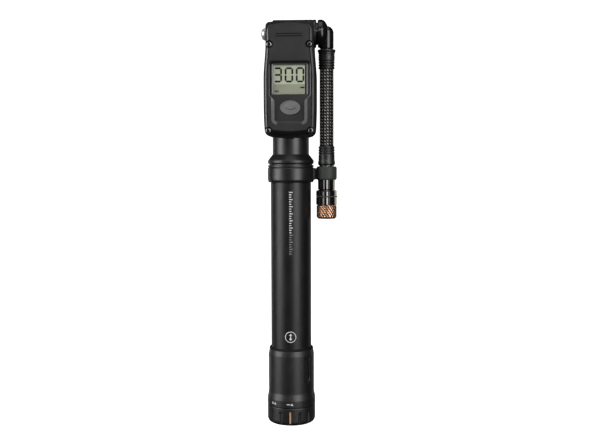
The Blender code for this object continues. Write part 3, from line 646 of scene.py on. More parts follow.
def make_dial():
    low, high = span("dial_knob")
    outer = high.x
    fillet = 3.0
    wall = dense((outer, high.z - 0.45), (outer, low.z + fillet), 34)
    curve = arc((outer - fillet, low.z + fillet), fillet, 0, -90, 14)
    inner = [(3.3, low.z + 4), (3.3, high.z), (outer - 0.5, high.z), (outer - 0.15, high.z - 0.12)]
    profile = [(0, low.z + 4)] + inner + wall + curve + [(0, low.z)]
    body = turned(profile, closed=False, steps=540, relief=dial_relief(outer, 8.2))
    slot = rounded_slab(0.95, 1.5, 9.9, 0.9)
    body = carved(body, [prism(slot, outer - 0.95, outer + 1.5)])
    piece("fluted_dial", body, "selector_dial", "black_plastic", "dial_knob")

    low, high = span("dial_index")
    half = 0.6
    front = -low.y
    rings = [at_depth(rounded_slab(half, low.z, high.z, 0.35), front - 0.7),
             at_depth(rounded_slab(half, low.z, high.z, 0.35), front - 0.12),
             at_depth(rounded_slab(half - 0.12, low.z + 0.12, high.z - 0.12, 0.25), front)]
    piece("index_line", skin(rings), "selector_dial", "index_orange", "dial_index")


# ---------------------------------------------------------------- printed marks

INK = 0.035


def wrapped(bm, radius, height, angle):
    """Rolls a flat mark round the pump. Its x runs along the surface and its y is its height."""
    for vert in bm.verts:
        along, out, up = vert.co / MM
        turn = math.radians(angle) + along / radius
        far = radius - out
        vert.co = Vector((far * math.sin(turn), -far * math.cos(turn), up + height)) * MM
    bmesh.ops.recalc_face_normals(bm, faces=bm.faces)
    return bm


def bar(x0, x1, z0, z1):
    """A flat printed bar, with enough columns to bend round the barrel."""
    columns = max(2, int((x1 - x0) / 0.4) + 1)
    rings = []
    for i in range(columns):
        x = x0 + (x1 - x0) * i / (columns - 1)
        rings.append([(x, -INK, z0), (x, -INK, z1), (x, INK, z1), (x, INK, z0)])
    return skin(rings)


def ring_mark(outer, inner):
    """A flat printed ring."""
    rings = []
    for angle in angles(64):
        c, s = math.cos(angle), math.sin(angle)
        rings.append([(outer * c, -INK, outer * s), (outer * c, INK, outer * s),
                      (inner * c, INK, inner * s), (inner * c, -INK, inner * s)])
    return skin(rings, loop=True)


def wedge(x, z, half, rise):
    """A printed triangle whose point is at rise above z, or below it."""
    rings = []
    for i in range(5):
        share = i / 4
        wide = half * (1 - share) + 0.02 * share
        rings.append([(x - wide, -INK, z + rise * share), (x, -INK, z + rise * share),
                      (x + wide, -INK, z + rise * share), (x + wide, INK, z + rise * share),
                      (x, INK, z + rise * share), (x - wide, INK, z + rise * share)])
    return skin(rings)


SCALE_HIGH = 154.8
SCALE_STEP = 1.55
SCALE_WHITE = 18
SCALE_GREY = 9


def make_marks():
    """Plain scale ticks and symbols where the pump carries its print."""
    barrel_r = span("barrel_tube")[1].x
    for name, look, first, count in (("scale_ticks_white", "white_ink", 0, SCALE_WHITE),
                                     ("scale_ticks_grey", "grey_ink", SCALE_WHITE, SCALE_GREY)):
        ticks = []
        for i in range(first, first + count):
            z = SCALE_HIGH - i * SCALE_STEP
            reach = 2.3 if i % 3 == 0 else 1.45
            ticks.append(bar(-1.15, -1.15 + reach, z - 0.62, z))
        piece(name, wrapped(merged(ticks), barrel_r, 0, 3.0), "barrel", look)

    stroke = [ring_mark(3.7, 3.25), bar(-0.3, 0.3, -1.2, 1.2), wedge(0, 1.0, 1.1, 1.4),
              wedge(0, -1.0, 1.1, -1.4)]
    piece("stroke_symbol", wrapped(merged(stroke), barrel_r, 59.2, 1.2), "barrel", "white_ink")

    foot_r = span("handle_sleeve")[1].x
    one = [bar(-2.2, -0.1, -0.3, 0.3), wedge(1.3, -0.75, 0.95, 1.6)]
    two = [wedge(-1.15, -0.8, 0.9, 1.7), wedge(1.15, -0.8, 0.9, 1.7)]
    piece("dial_mark_1", wrapped(merged(one), foot_r, 14.8, -0.3), "barrel", "white_ink")
    piece("dial_mark_2", wrapped(merged(two), foot_r, 14.8, -43.3), "barrel", "white_ink")


# ---------------------------------------------------------------- sliding half

NECK_HEIGHT = 23.1
NECK_R = 12.0
NECK_TOP = 190.6
NECK_FLAT = 10.9


def neck_flats(angle, radius, height):
    """The neck's top is flattened at the front and back, to pass inside the head's lip."""
    if height < 189.5 or radius < 11:
        return 0.0
    return min(0.0, NECK_FLAT / max(abs(math.sin(angle)), 0.1) - radius)


def make_collar_and_neck():
    low, high = span("clip_collar")
    outer = high.x
    collar = eased([(14.9, high.z, 0.15), (15.1, high.z - 0.4, 0.15), (15.1, high.z - 1.3, 0.15),
                    (14.75, high.z - 1.55, 0.1), (14.75, high.z - 1.75, 0.1),
                    (outer, high.z - 2.2, 0.3), (outer, low.z + 1.5, 0.6), (14.75, low.z, 0.35),
                    (13.6, low.z, 0.1), (13.6, high.z - 2.0), (9.3, high.z - 2.0), (9.3, high.z)])
    piece("collar_ring", turned(collar, steps=160), "head", "turned_black", "clip_collar")

    high = span("neck")[1]
    foot = high.z - NECK_HEIGHT
    neck = eased([(10.8, high.z, 0.3), (10.8, NECK_TOP), (NECK_R, NECK_TOP), (NECK_R, 189.3),
                  (NECK_R, foot + 6.4, 0.25), (14.9, foot + 2.7, 0.4), (high.x, foot + 2.1, 0.25),
                  (high.x, foot + 0.8, 0.25), (14.8, foot, 0.15), (14.2, foot),
                  (14.2, foot - 0.6), (9.3, foot - 0.6), (9.3, foot + 16.4), (2.0, foot + 16.4),
                  (2.0, foot + 19.1), (3.3, foot + 19.1), (3.3, high.z, 0.2)], steps=6)
    piece("neck_turning", turned(neck, steps=160, relief=neck_flats), "head", "turned_black",
          "neck")

    low, high = span("inner_tube")
    tube = eased([(high.x, high.z, 0.3), (high.x, low.z, 0.3), (7.8, low.z, 0.2),
                  (7.8, high.z, 0.2)])
    piece("inner_tube_drawn", turned(tube, steps=128), "head", "inner_aluminium", "inner_tube")


def make_clip():
    """The U-shaped clip with its rounded outer edges, on its arm."""
    low, high = span("hose_clip")
    centre = span("chuck_body")[0].x + 5.75
    inner = 6.05
    outer = high.x - centre
    tips = high.y
    rings = []
    edge = 1.4
    for share, z in [(1.0, 0.0), (0.62, 0.07), (0.3, 0.3), (0.08, 0.66), (0.0, 1.0)]:
        rings.append(clip_ring(centre, inner, outer - 0.85 * share, tips - 0.3 * share,
                               low.z + edge * z))
    rings += [[(x, y, low.z + high.z - z) for x, y, z in ring] for ring in reversed(rings)]
    loop = skin(rings)
    collar_r = span("clip_collar")[1].x + 0.12
    post = rounded_bar(13.6, collar_r + 0.3, low.y + 3.3, 3.6, low.z + 0.05, high.z - 0.9, 0.5)
    arm = rounded_bar(13.6, centre - outer + 0.4, low.y + 4.9, 3.4, low.z + 0.3, high.z - 1.2, 0.5)
    # The arm is painted with shade, as a dark recess between the post and the ring.
    clip = carved(carved(loop, [finished(arm, 1)], "UNION"), [post], "UNION")
    clear = rod(collar_r, low.z - 3, high.z + 3, steps=160)
    piece("clip_moulding", carved(clip, [clear]), "head", "clip_grey", "hose_clip", crisp=40,
          others=("deep_shade",))


def clip_ring(centre, inner, outer, tips, z):
    """One level of the clip: a U that is open to the rear, with round tips."""
    middle = (inner + outer) / 2
    half = (outer - inner) / 2
    points = arc((centre, 0), outer, -180, 0, 33)
    points += arc((centre + middle, tips - half), half, 0, 180, 9)
    points += arc((centre, 0), inner, 0, -180, 33)
    points += arc((centre - middle, tips - half), half, 0, 180, 9)
    return [(x, y, z) for x, y in points]


def rounded_bar(x0, x1, y0, y1, z0, z1, ease):
    """A bar along x whose long edges are rounded."""
    section = []
    for y, z, start in ((y1 - ease, z0 + ease, -90), (y1 - ease, z1 - ease, 0),
                        (y0 + ease, z1 - ease, 90), (y0 + ease, z0 + ease, 180)):
        section += arc((y, z), ease, start, start + 90, 5)
    return skin([[(x, y, z) for y, z in section] for x in (x0, x1)])


# ---------------------------------------------------------------- gauge head

HEAD_WAIST = 15.7
WAIST_Z = 251.3
WIDE_HIGH = 228.0
WIDE_LOW = 214.0


def head_flank(height, wide):
    """Half width of the head: widest at the display, narrower at the hose joint and the foot."""
    if height >= WAIST_Z:
        return HEAD_WAIST
    if height >= WIDE_HIGH:
        share = (height - WIDE_HIGH) / (WAIST_Z - WIDE_HIGH)
        return wide - (wide - HEAD_WAIST) * smooth_step(share)
    if height >= WIDE_LOW:
        return wide
    return wide - 0.45 * ((WIDE_LOW - height) / 18.0) ** 2


def head_outline(low, top, inset, corners, low_crown, top_crown):
    """Front view of the head as (x, z) points: crowned ends, round corners, curved flanks."""
    wide = span("rear_housing")[1].x
    low += inset
    top -= inset
    low_corner, top_corner = (max(corner - inset, 0.8) for corner in corners)
    right = []
    foot = head_flank(low + low_corner, wide) - inset
    head = head_flank(top - top_corner, wide) - inset
    for i in range(8):
        x = (foot - low_corner) * i / 8
        right.append((x, low + low_crown * (x / (foot - low_corner)) ** 2))
    right += arc((foot - low_corner, low + low_crown + low_corner), low_corner, -80, 0, 10)
    first = low + low_crown + low_corner
    last = top - top_crown - top_corner
    for i in range(1, 40):
        height = first + (last - first) * i / 40
        right.append((head_flank(height, wide) - inset, height))
    right += arc((head - top_corner, last), top_corner, 0, 80, 10)
    for i in range(7, -1, -1):
        x = (head - top_corner) * i / 8
        right.append((x, top - top_crown * (x / (head - top_corner)) ** 2))
    return right + [(-x, z) for x, z in reversed(right) if x > 0.01]


VALVE_R = 9.15


def valve_height():
    """The height of the sideways axis that the valve body, hose joint and bleed button share."""
    return span("valve_body")[1].z - VALVE_R


def screw_places():
    """Where each cover screw's axis is, as (x, z)."""
    boxes = [span(f"cover_screw_{number}") for number in (1, 2, 3, 4)]
    return [((low.x + high.x) / 2, (low.z + high.z) / 2) for low, high in boxes]


def make_housing():
    low, high = span("rear_housing")
    corners = (4.6, 2.8)
    rings = []
    for inset, depth in [(0.25, -low.y), (0.0, -low.y - 0.25)]:
        rings.append(at_depth(head_outline(low.z, high.z, inset, corners, 1.1, 0.5), depth))
    for x, z in arc((2.5, 2.5), 2.5, 180, 270, 8):
        rings.append(at_depth(head_outline(low.z, high.z, x, corners, 1.1, 0.5), z - high.y))
    shell = skin(rings)
    valve_mid = valve_height()
    mouth = span("valve_body")[0].x - 0.3
    channel = rod(VALVE_R + 0.3, mouth, 20, (0, 0, valve_mid), "X")
    bleed = rod(4.5, -20, -11.5, (0, 0, valve_mid), "X", 64)
    cavity = prism(rounded_slab(14.9, 197.5, 245.5, 1.5), 12.5, -12.6)
    neck = rod(11.1, 188, 198)
    stem = rod(7.3, 244, valve_mid)
    door = span("battery_door")
    door_z = (door[0].z + door[1].z) / 2
    door_hole = turned([(0, 12), (11.15, 12), (11.15, 14.4), (11.5, 15.2), (0, 15.2)],
                       place=(0, 0, door_z), axis="Y", closed=False)
    pilots = [rod(1.3, 8.0, 13.0, (x, 0, z), "-Y", 24) for x, z in screw_places()]
    shell = carved(shell, [cavity, channel, bleed, neck, stem, door_hole] + pilots)
    piece("housing_shell", shell, "head", "moulded_black", "rear_housing")


def key_place():
    """The middle of the oval key, as (x, z)."""
    low, high = span("power_button")
    return (low.x + high.x) / 2, (low.z + high.z) / 2


PANEL_LEFT = 12.6
PANEL_RIGHT = 13.2
WINDOW_SHIFT = 0.4
WINDOW_LOW = 217.9
WINDOW_HIGH = 236.7


def shifted(outline, shift):
    """An outline moved sideways: the window isn't quite in the middle of the cover."""
    return [(x + shift, z) for x, z in outline]


def panel_outline(grow, grow_top):
    """The sunk panel: wide round the display, narrower round the key."""
    narrow = 9.0 + grow
    low = 200.7 - grow
    top = 238.4 + grow_top
    sides = []
    for wide in (PANEL_RIGHT + grow, PANEL_LEFT + grow):
        side = arc((narrow - 1.0, low + 1.0), 1.0, -90, 0, 6)
        side += [(narrow, 213.2 - 0.45 * grow), (wide, 217.2 - 0.45 * grow)]
        sides.append(side + arc((wide - 2.0, top - 2.0), 2.0, 0, 90, 8))
    return sides[0] + [(-x, z) for x, z in reversed(sides[1])]


def frame_outline(grow):
    """The shallow frame round the lower part of the panel."""
    half = 9.7 + grow
    low = 200.3 - grow
    right = arc((half - 1.6 - grow, low + 1.6 + grow), 1.6 + grow, -90, 0, 8)
    right += [(half, 215.4)]
    return right + [(-x, z) for x, z in reversed(right)]


def trench_outline():
    """The gap over and beside the display's frame, which is painted with shade."""
    outer = [(PANEL_RIGHT - 0.05, 217.6)] + arc((PANEL_RIGHT - 2.0, 236.3), 1.95, 0, 90, 7)
    outer += arc((2.0 - PANEL_LEFT, 236.3), 1.95, 90, 180, 7) + [(0.05 - PANEL_LEFT, 217.6)]
    half = 11.9
    inner = [(half, 217.6)] + arc((half - 1.0, 236.5), 1.0, 0, 90, 5)
    inner += [(-x, z) for x, z in reversed(inner)]
    return outer + shifted(inner[::-1], WINDOW_SHIFT)


def make_cover():
    low, high = span("front_cover")
    front = -low.y
    back = -high.y
    floor = 15.3
    # Faces given the edge finish carry a painted highlight on the bevels and chamfers; faces given
    # the shade finish carry painted shade in the grooves, recess walls and gaps.
    edge, shade = 1, 2
    steps = [(0.2, back), (0.2, front - 1.15), (0.3, front - 1.0), (1.15, front - 0.18),
             (1.35, front - 0.10), (1.45, front - 0.60), (1.90, front - 0.60),
             (2.03, front - 0.03), (2.13, front)]
    inset = 0.9
    rings = [at_depth(head_outline(low.z - inset, high.z + 1.4 + 0.8 * i, inset + i, (5.0, 5.6),
                                   1.1, 1.2), depth) for i, depth in steps]
    cover = skin(rings, finishes=(0, 0, edge, edge, shade, shade, shade, 0))
    # The bevel along the foot is painted with shade instead of the highlight.
    cover = finished(cover, shade, lambda spot: spot.z < low.z + 2.4, instead_of=edge)
    deep = skin([at_depth(panel_outline(0, 0), floor), at_depth(panel_outline(0, 0.1), front - 0.5),
                 at_depth(panel_outline(0.55, 1.1), front + 0.05),
                 at_depth(panel_outline(0.55, 1.1), front + 1)], finishes=(shade, edge))
    deep = finished(deep, shade, lambda spot: spot.z > 236.0 or spot.z < 212.0, instead_of=edge)
    shallow = skin([at_depth(frame_outline(0), front - 0.55),
                    at_depth(frame_outline(2.1), front + 0.03),
                    at_depth(frame_outline(2.1), front + 1)], finishes=(edge,))
    shallow = finished(shallow, 0, lambda spot: spot.z < 200.4 and abs(spot.x) < 8.0)
    trench = finished(prism(trench_outline(), floor - 0.6, floor + 0.1), shade)
    pane = shifted(rounded_slab(10.75, WINDOW_LOW, WINDOW_HIGH, 0.5), WINDOW_SHIFT)
    lip = shifted(rounded_slab(11.85, WINDOW_LOW - 0.15, WINDOW_HIGH + 0.6, 0.8), WINDOW_SHIFT)
    window = skin([at_depth(pane, 13.0), at_depth(pane, 14.7), at_depth(lip, floor + 0.02),
                   at_depth(lip, floor + 1)], finishes=(shade, edge))
    cavity = prism(rounded_slab(13.9, 198.0, 245.0, 1.0), 11.0, 13.7)
    key_x, key_z = key_place()
    hole = prism([(key_x + 6.9 * math.cos(a), key_z + 4.95 * math.sin(a)) for a in angles(72)],
                 13.0, 17.5)
    # The key's hole, the screw recesses and the two slots are painted with shade inside.
    cutters = [deep, shallow, trench, window, cavity, finished(hole, shade)]
    for x, z in screw_places():
        head_hole = turned([(0, 14.3), (2.3, 14.3), (2.3, 16.1), (2.57, 16.4), (2.57, 17.5),
                            (0, 17.5)], place=(x, 0, z), axis="-Y", closed=False, steps=48)
        cutters.append(finished(head_hole, shade))
        cutters.append(rod(1.4, 11.0, 15.0, (x, 0, z), "-Y", 24))
    for rise in (-0.75, 0.75):
        groove = rounded_slab(8.6, 255.6 + rise - 0.35, 255.6 + rise + 0.35, 0.34)
        cutters.append(finished(prism(groove, front - 0.25, front + 1), shade))
    piece("cover_moulding", carved(cover, cutters), "head", "cover_grey", "front_cover",
          others=("cover_painted_highlight", "deep_shade"))


def make_screws():
    """Cap screws with a hexagon socket."""
    for number, (x, z) in enumerate(screw_places(), 1):
        low, high = span(f"cover_screw_{number}")
        top = -low.y
        head = eased([(0, top), (1.2, top - 0.05, 0.3), (1.85, top - 0.45, 0.4),
                      (2.0, top - 0.9, 0.2), (2.0, top - 1.3, 0.1), (1.0, top - 1.3),
                      (1.0, -high.y), (0, -high.y)], closed=False)
        screw = turned(head, place=(x, 0, z), axis="-Y", closed=False, steps=48)
        socket = skin([[(x + r * math.cos(a), -d, z + r * math.sin(a)) for a in angles(6)]
                       for r, d in ((0.35, top - 1.0), (1.0, top - 0.85), (1.0, top - 0.08),
                                    (1.12, top + 0.1))])
        # The hexagon socket is painted with shade.
        piece(f"cap_screw_{number}", carved(screw, [finished(socket, 1)]), "head", "black_screw",
              f"cover_screw_{number}", others=("deep_shade",))


# ---------------------------------------------------------------- display and key

SEGMENTS = {
    "0": "abcdef",
    "3": "abcdg",
}
DIGIT_HALF = 2.75
DIGIT_HALF_HIGH = 4.85
DIGIT_STROKE = 0.6


def segment(name):
    """The outline of one bar of a seven-bar digit about its centre, with pointed ends."""
    x = DIGIT_HALF - DIGIT_STROKE
    z = DIGIT_HALF_HIGH - DIGIT_STROKE
    ends = {"a": ((-x, z), (x, z)), "b": ((x, z), (x, 0)), "c": ((x, 0), (x, -z)),
            "d": ((-x, -z), (x, -z)), "e": ((-x, 0), (-x, -z)), "f": ((-x, z), (-x, 0)),
            "g": ((-x, 0), (x, 0))}
    start, stop = (Vector(end) for end in ends[name])
    along = (stop - start).normalized()
    across = Vector((-along.y, along.x)) * DIGIT_STROKE
    start += along * 0.12
    stop -= along * 0.12
    return [start, start + along * DIGIT_STROKE + across, stop - along * DIGIT_STROKE + across,
            stop, stop - along * DIGIT_STROKE - across, start + along * DIGIT_STROKE - across]


def flat_mark(outline, x, z, depth, thick=0.04):
    return skin([[(x + px, -depth + back, z + pz) for px, pz in outline]
                 for back in (0.03, -thick)])


def make_display():
    low, high = span("lcd_panel")
    front = -low.y
    edge = 0.2
    rings = [at_depth(rounded_slab(high.x, low.z, high.z, 0.5), -high.y),
             at_depth(rounded_slab(high.x, low.z, high.z, 0.5), front - edge),
             at_depth(rounded_slab(high.x - edge, low.z + edge, high.z - edge, 0.4), front)]
    piece("display_panel", skin(rings), "head", "display_glass", "lcd_panel")

    marks = []
    for digit, x in (("3", -7.55), ("0", -0.35), ("0", 6.85)):
        for name in SEGMENTS[digit]:
            marks.append(flat_mark(segment(name), x, 230.35, front))
    dash = rounded_slab(1.4, -0.5, 0.5, 0.45)
    marks.append(flat_mark(dash, 8.3, 222.2, front))
    for i in range(3):
        marks.append(flat_mark(rounded_slab(0.32, -0.75, 0.75, 0.1), -9.3 + i * 0.95, 219.8, front))
    # A dark strip along the display's right edge is painted shadow, in the display ink.
    right_edge_painted_shadow = [(10.0, WINDOW_LOW), (11.25, WINDOW_LOW), (11.25, WINDOW_HIGH),
                    (10.0, WINDOW_HIGH)]
    marks.append(flat_mark(right_edge_painted_shadow, 0, 0, front, 0.06))
    piece("display_digits", merged(marks), "head", "display_ink_and_painted_shadow")
    shade = [(-10.4, 217.0), (10.4, 217.0), (10.4, 224.4), (-10.4, 224.4)]
    piece("display_lower_band", flat_mark(shade, 0, 0, front, 0.015), "head", "display_shade")

    rings = []
    for shrink, depth in ((0.15, 14.15), (0.0, 14.3), (0.0, 14.75), (0.2, 14.95)):
        outline = rounded_slab(10.65 - shrink, WINDOW_LOW + 0.08 + shrink,
                               WINDOW_HIGH - 0.08 - shrink, 0.4)
        rings.append(at_depth(shifted(outline, WINDOW_SHIFT), depth))
    piece("display_window", skin(rings), "head", "lens_clear", "lcd_lens")


KEY_LEAF_X = 3.5
KEY_LEAF_Z = 1.5
KEY_LEAF_RISE = 0.62
KEY_RIM = ((1.15, 3.5), (1.15, 2.9), (1.0, 2.9), (1.0, 0.80), (0.985, 0.62), (0.95, 0.54),
           (0.91, 0.57), (0.88, 0.80))


def make_key():
    """The oval key: a rim, a soft dome and a raised leaf in its middle."""
    centre_x, centre_z = key_place()
    half_x = 6.6
    half_z = 4.65
    top = -span("power_button")[0].y
    rings = []
    for reach, depth in KEY_RIM:
        rings.append([(centre_x + half_x * reach * math.cos(a), depth - top,
                       centre_z + half_z * reach * math.sin(a)) for a in angles(160)])
    inside, base = KEY_RIM[-1]
    for i in range(1, 45):
        reach = inside * (1 - i / 44)
        ring = []
        for a in angles(160):
            x = half_x * reach * math.cos(a)
            z = half_z * reach * math.sin(a)
            dome = 0.16 * (1 - (reach / inside) ** 2)
            from_edge = KEY_LEAF_Z * (1 - (x / KEY_LEAF_X) ** 2) - abs(z)
            rise = KEY_LEAF_RISE * smooth_step(from_edge / 0.5)
            ring.append((centre_x + x, base - dome - rise - top, centre_z + z))
        rings.append(ring)
    piece("oval_key", skin(rings), "power_key", "button_rubber", "power_button")


# ---------------------------------------------------------------- rear, valve body and bleed

def make_battery_door():
    low, high = span("battery_door")
    z = (low.z + high.z) / 2
    back = high.y
    rim = high.x
    profile = eased([(0, back - 0.15), (7.6, back - 0.15, 0.2), (8.0, back, 0.2),
                     (rim - 0.35, back, 0.25), (rim, back - 0.45, 0.2), (rim, low.y + 0.9),
                     (9.6, low.y + 0.9), (9.6, low.y), (0, low.y)], closed=False)
    door = turned(profile, place=(0, 0, z), axis="Y", closed=False, steps=128)
    slot = rounded_slab(5.5, z - 0.8, z + 0.8, 0.75)
    slots = [prism(slot, -back - 1, -back + 0.85)]
    for i in range(3):
        a = math.radians(90 + 120 * i)
        x = 9.35 * math.cos(a)
        up = 9.35 * math.sin(a)
        slots.append(rod(0.45, -back - 1, 0.3 - back, (x, 0, z + up), "-Y", 24))
    piece("coin_door", carved(door, slots), "head", "moulded_black", "battery_door")


def make_valve_body():
    low, high = span("valve_body")
    right = high.x
    left = low.x
    z = valve_height()
    outer = eased([(0, right), (8.75, right, 0.15), (VALVE_R, right - 0.4, 0.2),
                   (VALVE_R, right - 2.0, 0.1), (VALVE_R - 0.22, right - 2.2, 0.05),
                   (VALVE_R - 0.22, right - 2.5, 0.05), (VALVE_R, right - 2.7, 0.1),
                   (VALVE_R, left + 0.4, 0.2), (8.75, left, 0.1), (0, left)], closed=False)
    valve = turned(outer, place=(0, 0, z), axis="X", closed=False, steps=128)
    post = turned([(0, z - 5.2), (7.0, z - 5.2), (7.0, 196.3), (3.0, 196.3), (3.0, low.z),
                   (0, low.z)], closed=False, steps=64)
    bore = turned([(0, 18.0), (7.5, 18.0), (7.5, 12.9), (3.3, 12.9), (3.3, 7.0), (4.5, 7.0),
                   (4.5, -13.0), (0, -13.0)], place=(0, 0, z), axis="X", closed=False, steps=64)
    chamber = turned([(0, z), (4.5, z), (4.5, 229.0), (1.6, 229.0), (1.6, 191.0), (0, 191.0)],
                     closed=False, steps=48)
    valve = carved(carved(valve, [post], "UNION"), [bore, chamber])
    piece("valve_block", valve, "head", "turned_black", "valve_body")

    low, high = span("bleed_button")
    tip = low.x
    dome = eased([(0, -16.4), (1.55, -16.4), (1.55, -14.0), (4.15, -14.0, 0.1),
                  (4.15, tip + 2.5, 0.9), (3.2, tip + 0.75, 1.3), (0, tip)], closed=False, steps=8)
    piece("bleed_cap", turned(dome, place=(0, 0, z), axis="X", closed=False), "bleed_valve",
          "chrome", "bleed_button")


# ---------------------------------------------------------------- swivel, hose and chuck

ELBOW_R = 4.63


def make_swivel():
    """The hose joint's domed hub and the elbow that leads down from it."""
    hose_x = span("swivel_elbow")[1].x - ELBOW_R
    valve = valve_height()
    rise = 4.93
    hub = [(VALVE_R * math.cos(math.radians(a)),
            hose_x + 1.4 - rise * (1 - math.sin(math.radians(a)))) for a in range(90, -1, -5)]
    hub[0] = (0, hose_x + 1.4)
    hub += eased([(VALVE_R, hose_x - 3.6), (9.1, hose_x - 5.2, 0.25),
                  (8.8, hose_x - 5.7, 0.1), (7.2, hose_x - 5.7), (7.2, 16.1), (6.1, 16.1),
                  (6.1, 14.6), (7.2, 14.6), (7.2, 13.2), (3.0, 13.2), (3.0, 6.65), (2.3, 6.65),
                  (2.3, 5.55), (3.0, 5.55), (3.0, 5.0), (0, 5.0)], closed=False, steps=8)
    elbow = turned(hub, place=(0, 0, valve), axis="X", closed=False, steps=128)
    crown = valve + 0.37
    leg = [(0, crown + ELBOW_R)] + arc((0, crown), ELBOW_R, 88, 0, 16)
    leg += [(ELBOW_R, 248.95), (ELBOW_R - 0.12, 248.6), (2.05, 248.6), (2.05, 241.0), (0, 241.0)]
    elbow = carved(elbow, [turned(leg, place=(hose_x, 0, 0), closed=False, steps=96)], "UNION")
    passage = [rod(1.3, 240, valve + 1.2, (hose_x, 0, 0), steps=32),
               rod(1.3, 4.0, hose_x, (0, 0, valve), "X", 32)]
    piece("elbow_moulding", carved(elbow, passage), "hose", "gloss_moulding", "swivel_elbow",
          crisp=40)


BRAID_CARRIERS = 14
BRAID_LEAD = 28.0
YARN_HALF_WIDE = {1: 0.62, -1: 0.30}
YARN_HALF_THICK = 0.13
YARN_WAVE = 0.17
YARN_SIDES = 6


def yarn(centre_x, start, stop, carrier, hand, outer):
    """One flat yarn of the braid, which runs over and under the others in turn."""
    crossing = BRAID_LEAD / (2 * BRAID_CARRIERS)
    count = int((stop - start) / (crossing / 6))
    middle = outer + 0.05
    rings = []
    crest_highlight_marks = []
    for i in range(count + 1):
        z = start + (stop - start) * i / count
        angle = 2 * math.pi * (carrier / BRAID_CARRIERS + hand * z / BRAID_LEAD)
        over = math.cos(math.pi * z / crossing)
        radius = middle - hand * YARN_WAVE * over
        out = Vector((math.cos(angle), math.sin(angle), 0))
        side = Vector((-out.y, out.x, 0))
        slope = 2 * math.pi * radius / BRAID_LEAD
        along = (side * hand * slope + Vector((0, 0, 1))).normalized()
        across = along.cross(out)
        spot = Vector((centre_x, 0, z)) + out * radius
        rings.append([spot + across * (YARN_HALF_WIDE[hand] * math.sin(a))
                      + out * (YARN_HALF_THICK * math.cos(a)) for a in angles(YARN_SIDES)])
        # Yarns of one hand get a painted highlight where they come up over the others.
        crest_highlight_marks.append(1 if hand < 0 and over > 0.2 else 0)
    return skin(rings, finishes=crest_highlight_marks)


def make_hose():
    """The braid's yarns over a smooth core. Those that run one way carry a painted highlight where
    they come up.
    """
    low, high = span("hose")
    centre = (low.x + high.x) / 2
    outer = high.x - centre
    core = outer - 0.35
    yarns = [turned([(core, high.z), (core, low.z), (2.4, low.z), (2.4, high.z)],
                    place=(centre, 0, 0), steps=48)]
    for hand in (1, -1):
        for carrier in range(BRAID_CARRIERS):
            yarns.append(yarn(centre, low.z + 0.1, high.z - 0.1, carrier, hand, outer))
    piece("braided_hose", merged(yarns), "hose", "hose_braid", "hose", crisp=60,
          others=("braid_painted_highlight",))


def make_ferrules():
    low, high = span("upper_ferrule")
    centre = (low.x + high.x) / 2
    flange = high.x - centre
    bore = span("hose")[1].x - centre + 0.1
    top = high.z
    upper = [(5.2, top, 0.3), (flange, top - 0.5, 0.3), (flange, top - 1.3, 0.3),
             (5.5, top - 2.0, 0.3), (5.35, top - 3.2, 0.1), (5.15, top - 3.35, 0.05),
             (5.15, top - 3.6, 0.05), (5.35, top - 3.75, 0.1), (5.35, top - 7.2, 0.4)]
    for i in range(3):
        edge = top - 7.9 - i * 1.75
        upper += [(4.95, edge, 0.15), (5.4, edge - 0.35, 0.2), (5.4, edge - 1.0, 0.2),
                  (4.95, edge - 1.35, 0.15)]
    upper += [(4.95, low.z, 0.2), (bore, low.z, 0.1), (bore, top - 1.1), (2.4, top - 1.1),
              (2.4, top)]
    piece("hose_end_upper", turned(eased(upper), place=(centre, 0, 0)), "hose", "black_plastic",
          "upper_ferrule")

    low, high = span("lower_ferrule")
    top = high.z
    lower = [(5.0, top, 0.2)]
    for i in range(3):
        edge = top - 0.35 - i * 1.75
        lower += [(5.0, edge, 0.15), (5.45, edge - 0.35, 0.2), (5.45, edge - 1.0, 0.2),
                  (5.0, edge - 1.35, 0.15)]
    lower += [(5.35, top - 6.0, 0.4), (5.3, low.z + 3.4, 1.0), (5.7, low.z + 1.7, 0.5),
              (5.7, low.z + 0.7, 0.25), (5.3, low.z, 0.2), (4.95, low.z), (4.95, low.z - 0.5),
              (2.4, low.z - 0.5), (2.4, low.z + 0.9),
              (bore, low.z + 0.9), (bore, top, 0.1)]
    piece("hose_end_lower", turned(eased(lower), place=(centre, 0, 0)), "hose", "black_plastic",
          "lower_ferrule")

    low, high = span("hose_fitting")
    flange = high.x - centre
    fitting = eased([(2.05, high.z, 0.1), (2.05, low.z + 7.3), (flange, low.z + 7.3, 0.12),
                     (flange, low.z + 6.8, 0.12), (3.0, low.z + 6.8), (3.0, low.z, 0.2),
                     (1.2, low.z), (1.2, high.z)])
    piece("hose_fitting_turned", turned(fitting, place=(centre, 0, 0), steps=64), "hose", "brass",
          "hose_fitting")


KNURL_TEETH = 22
KNURL_LEAN = 0.67
KNURL_RADIUS = 6.35
KNURL_DEPTHS = {1: 0.36, -1: 0.16}


def knurl_cut(angle, height, hand):
    """How deep one set of the knurl's grooves is, from 0 to 1."""
    share = (angle + hand * KNURL_LEAN * height / KNURL_RADIUS) * KNURL_TEETH / (2 * math.pi)
    return max(0.0, 1.0 - 2.0 * abs(share % 1.0 - 0.5) * 2)


def knurl(angle, radius, height):
    """Two crossing sets of fine diagonal grooves, one deeper than the other."""
    if radius < 5.65:
        return 0.0
    return -max(deepest * knurl_cut(angle, height, hand)
                for hand, deepest in KNURL_DEPTHS.items())


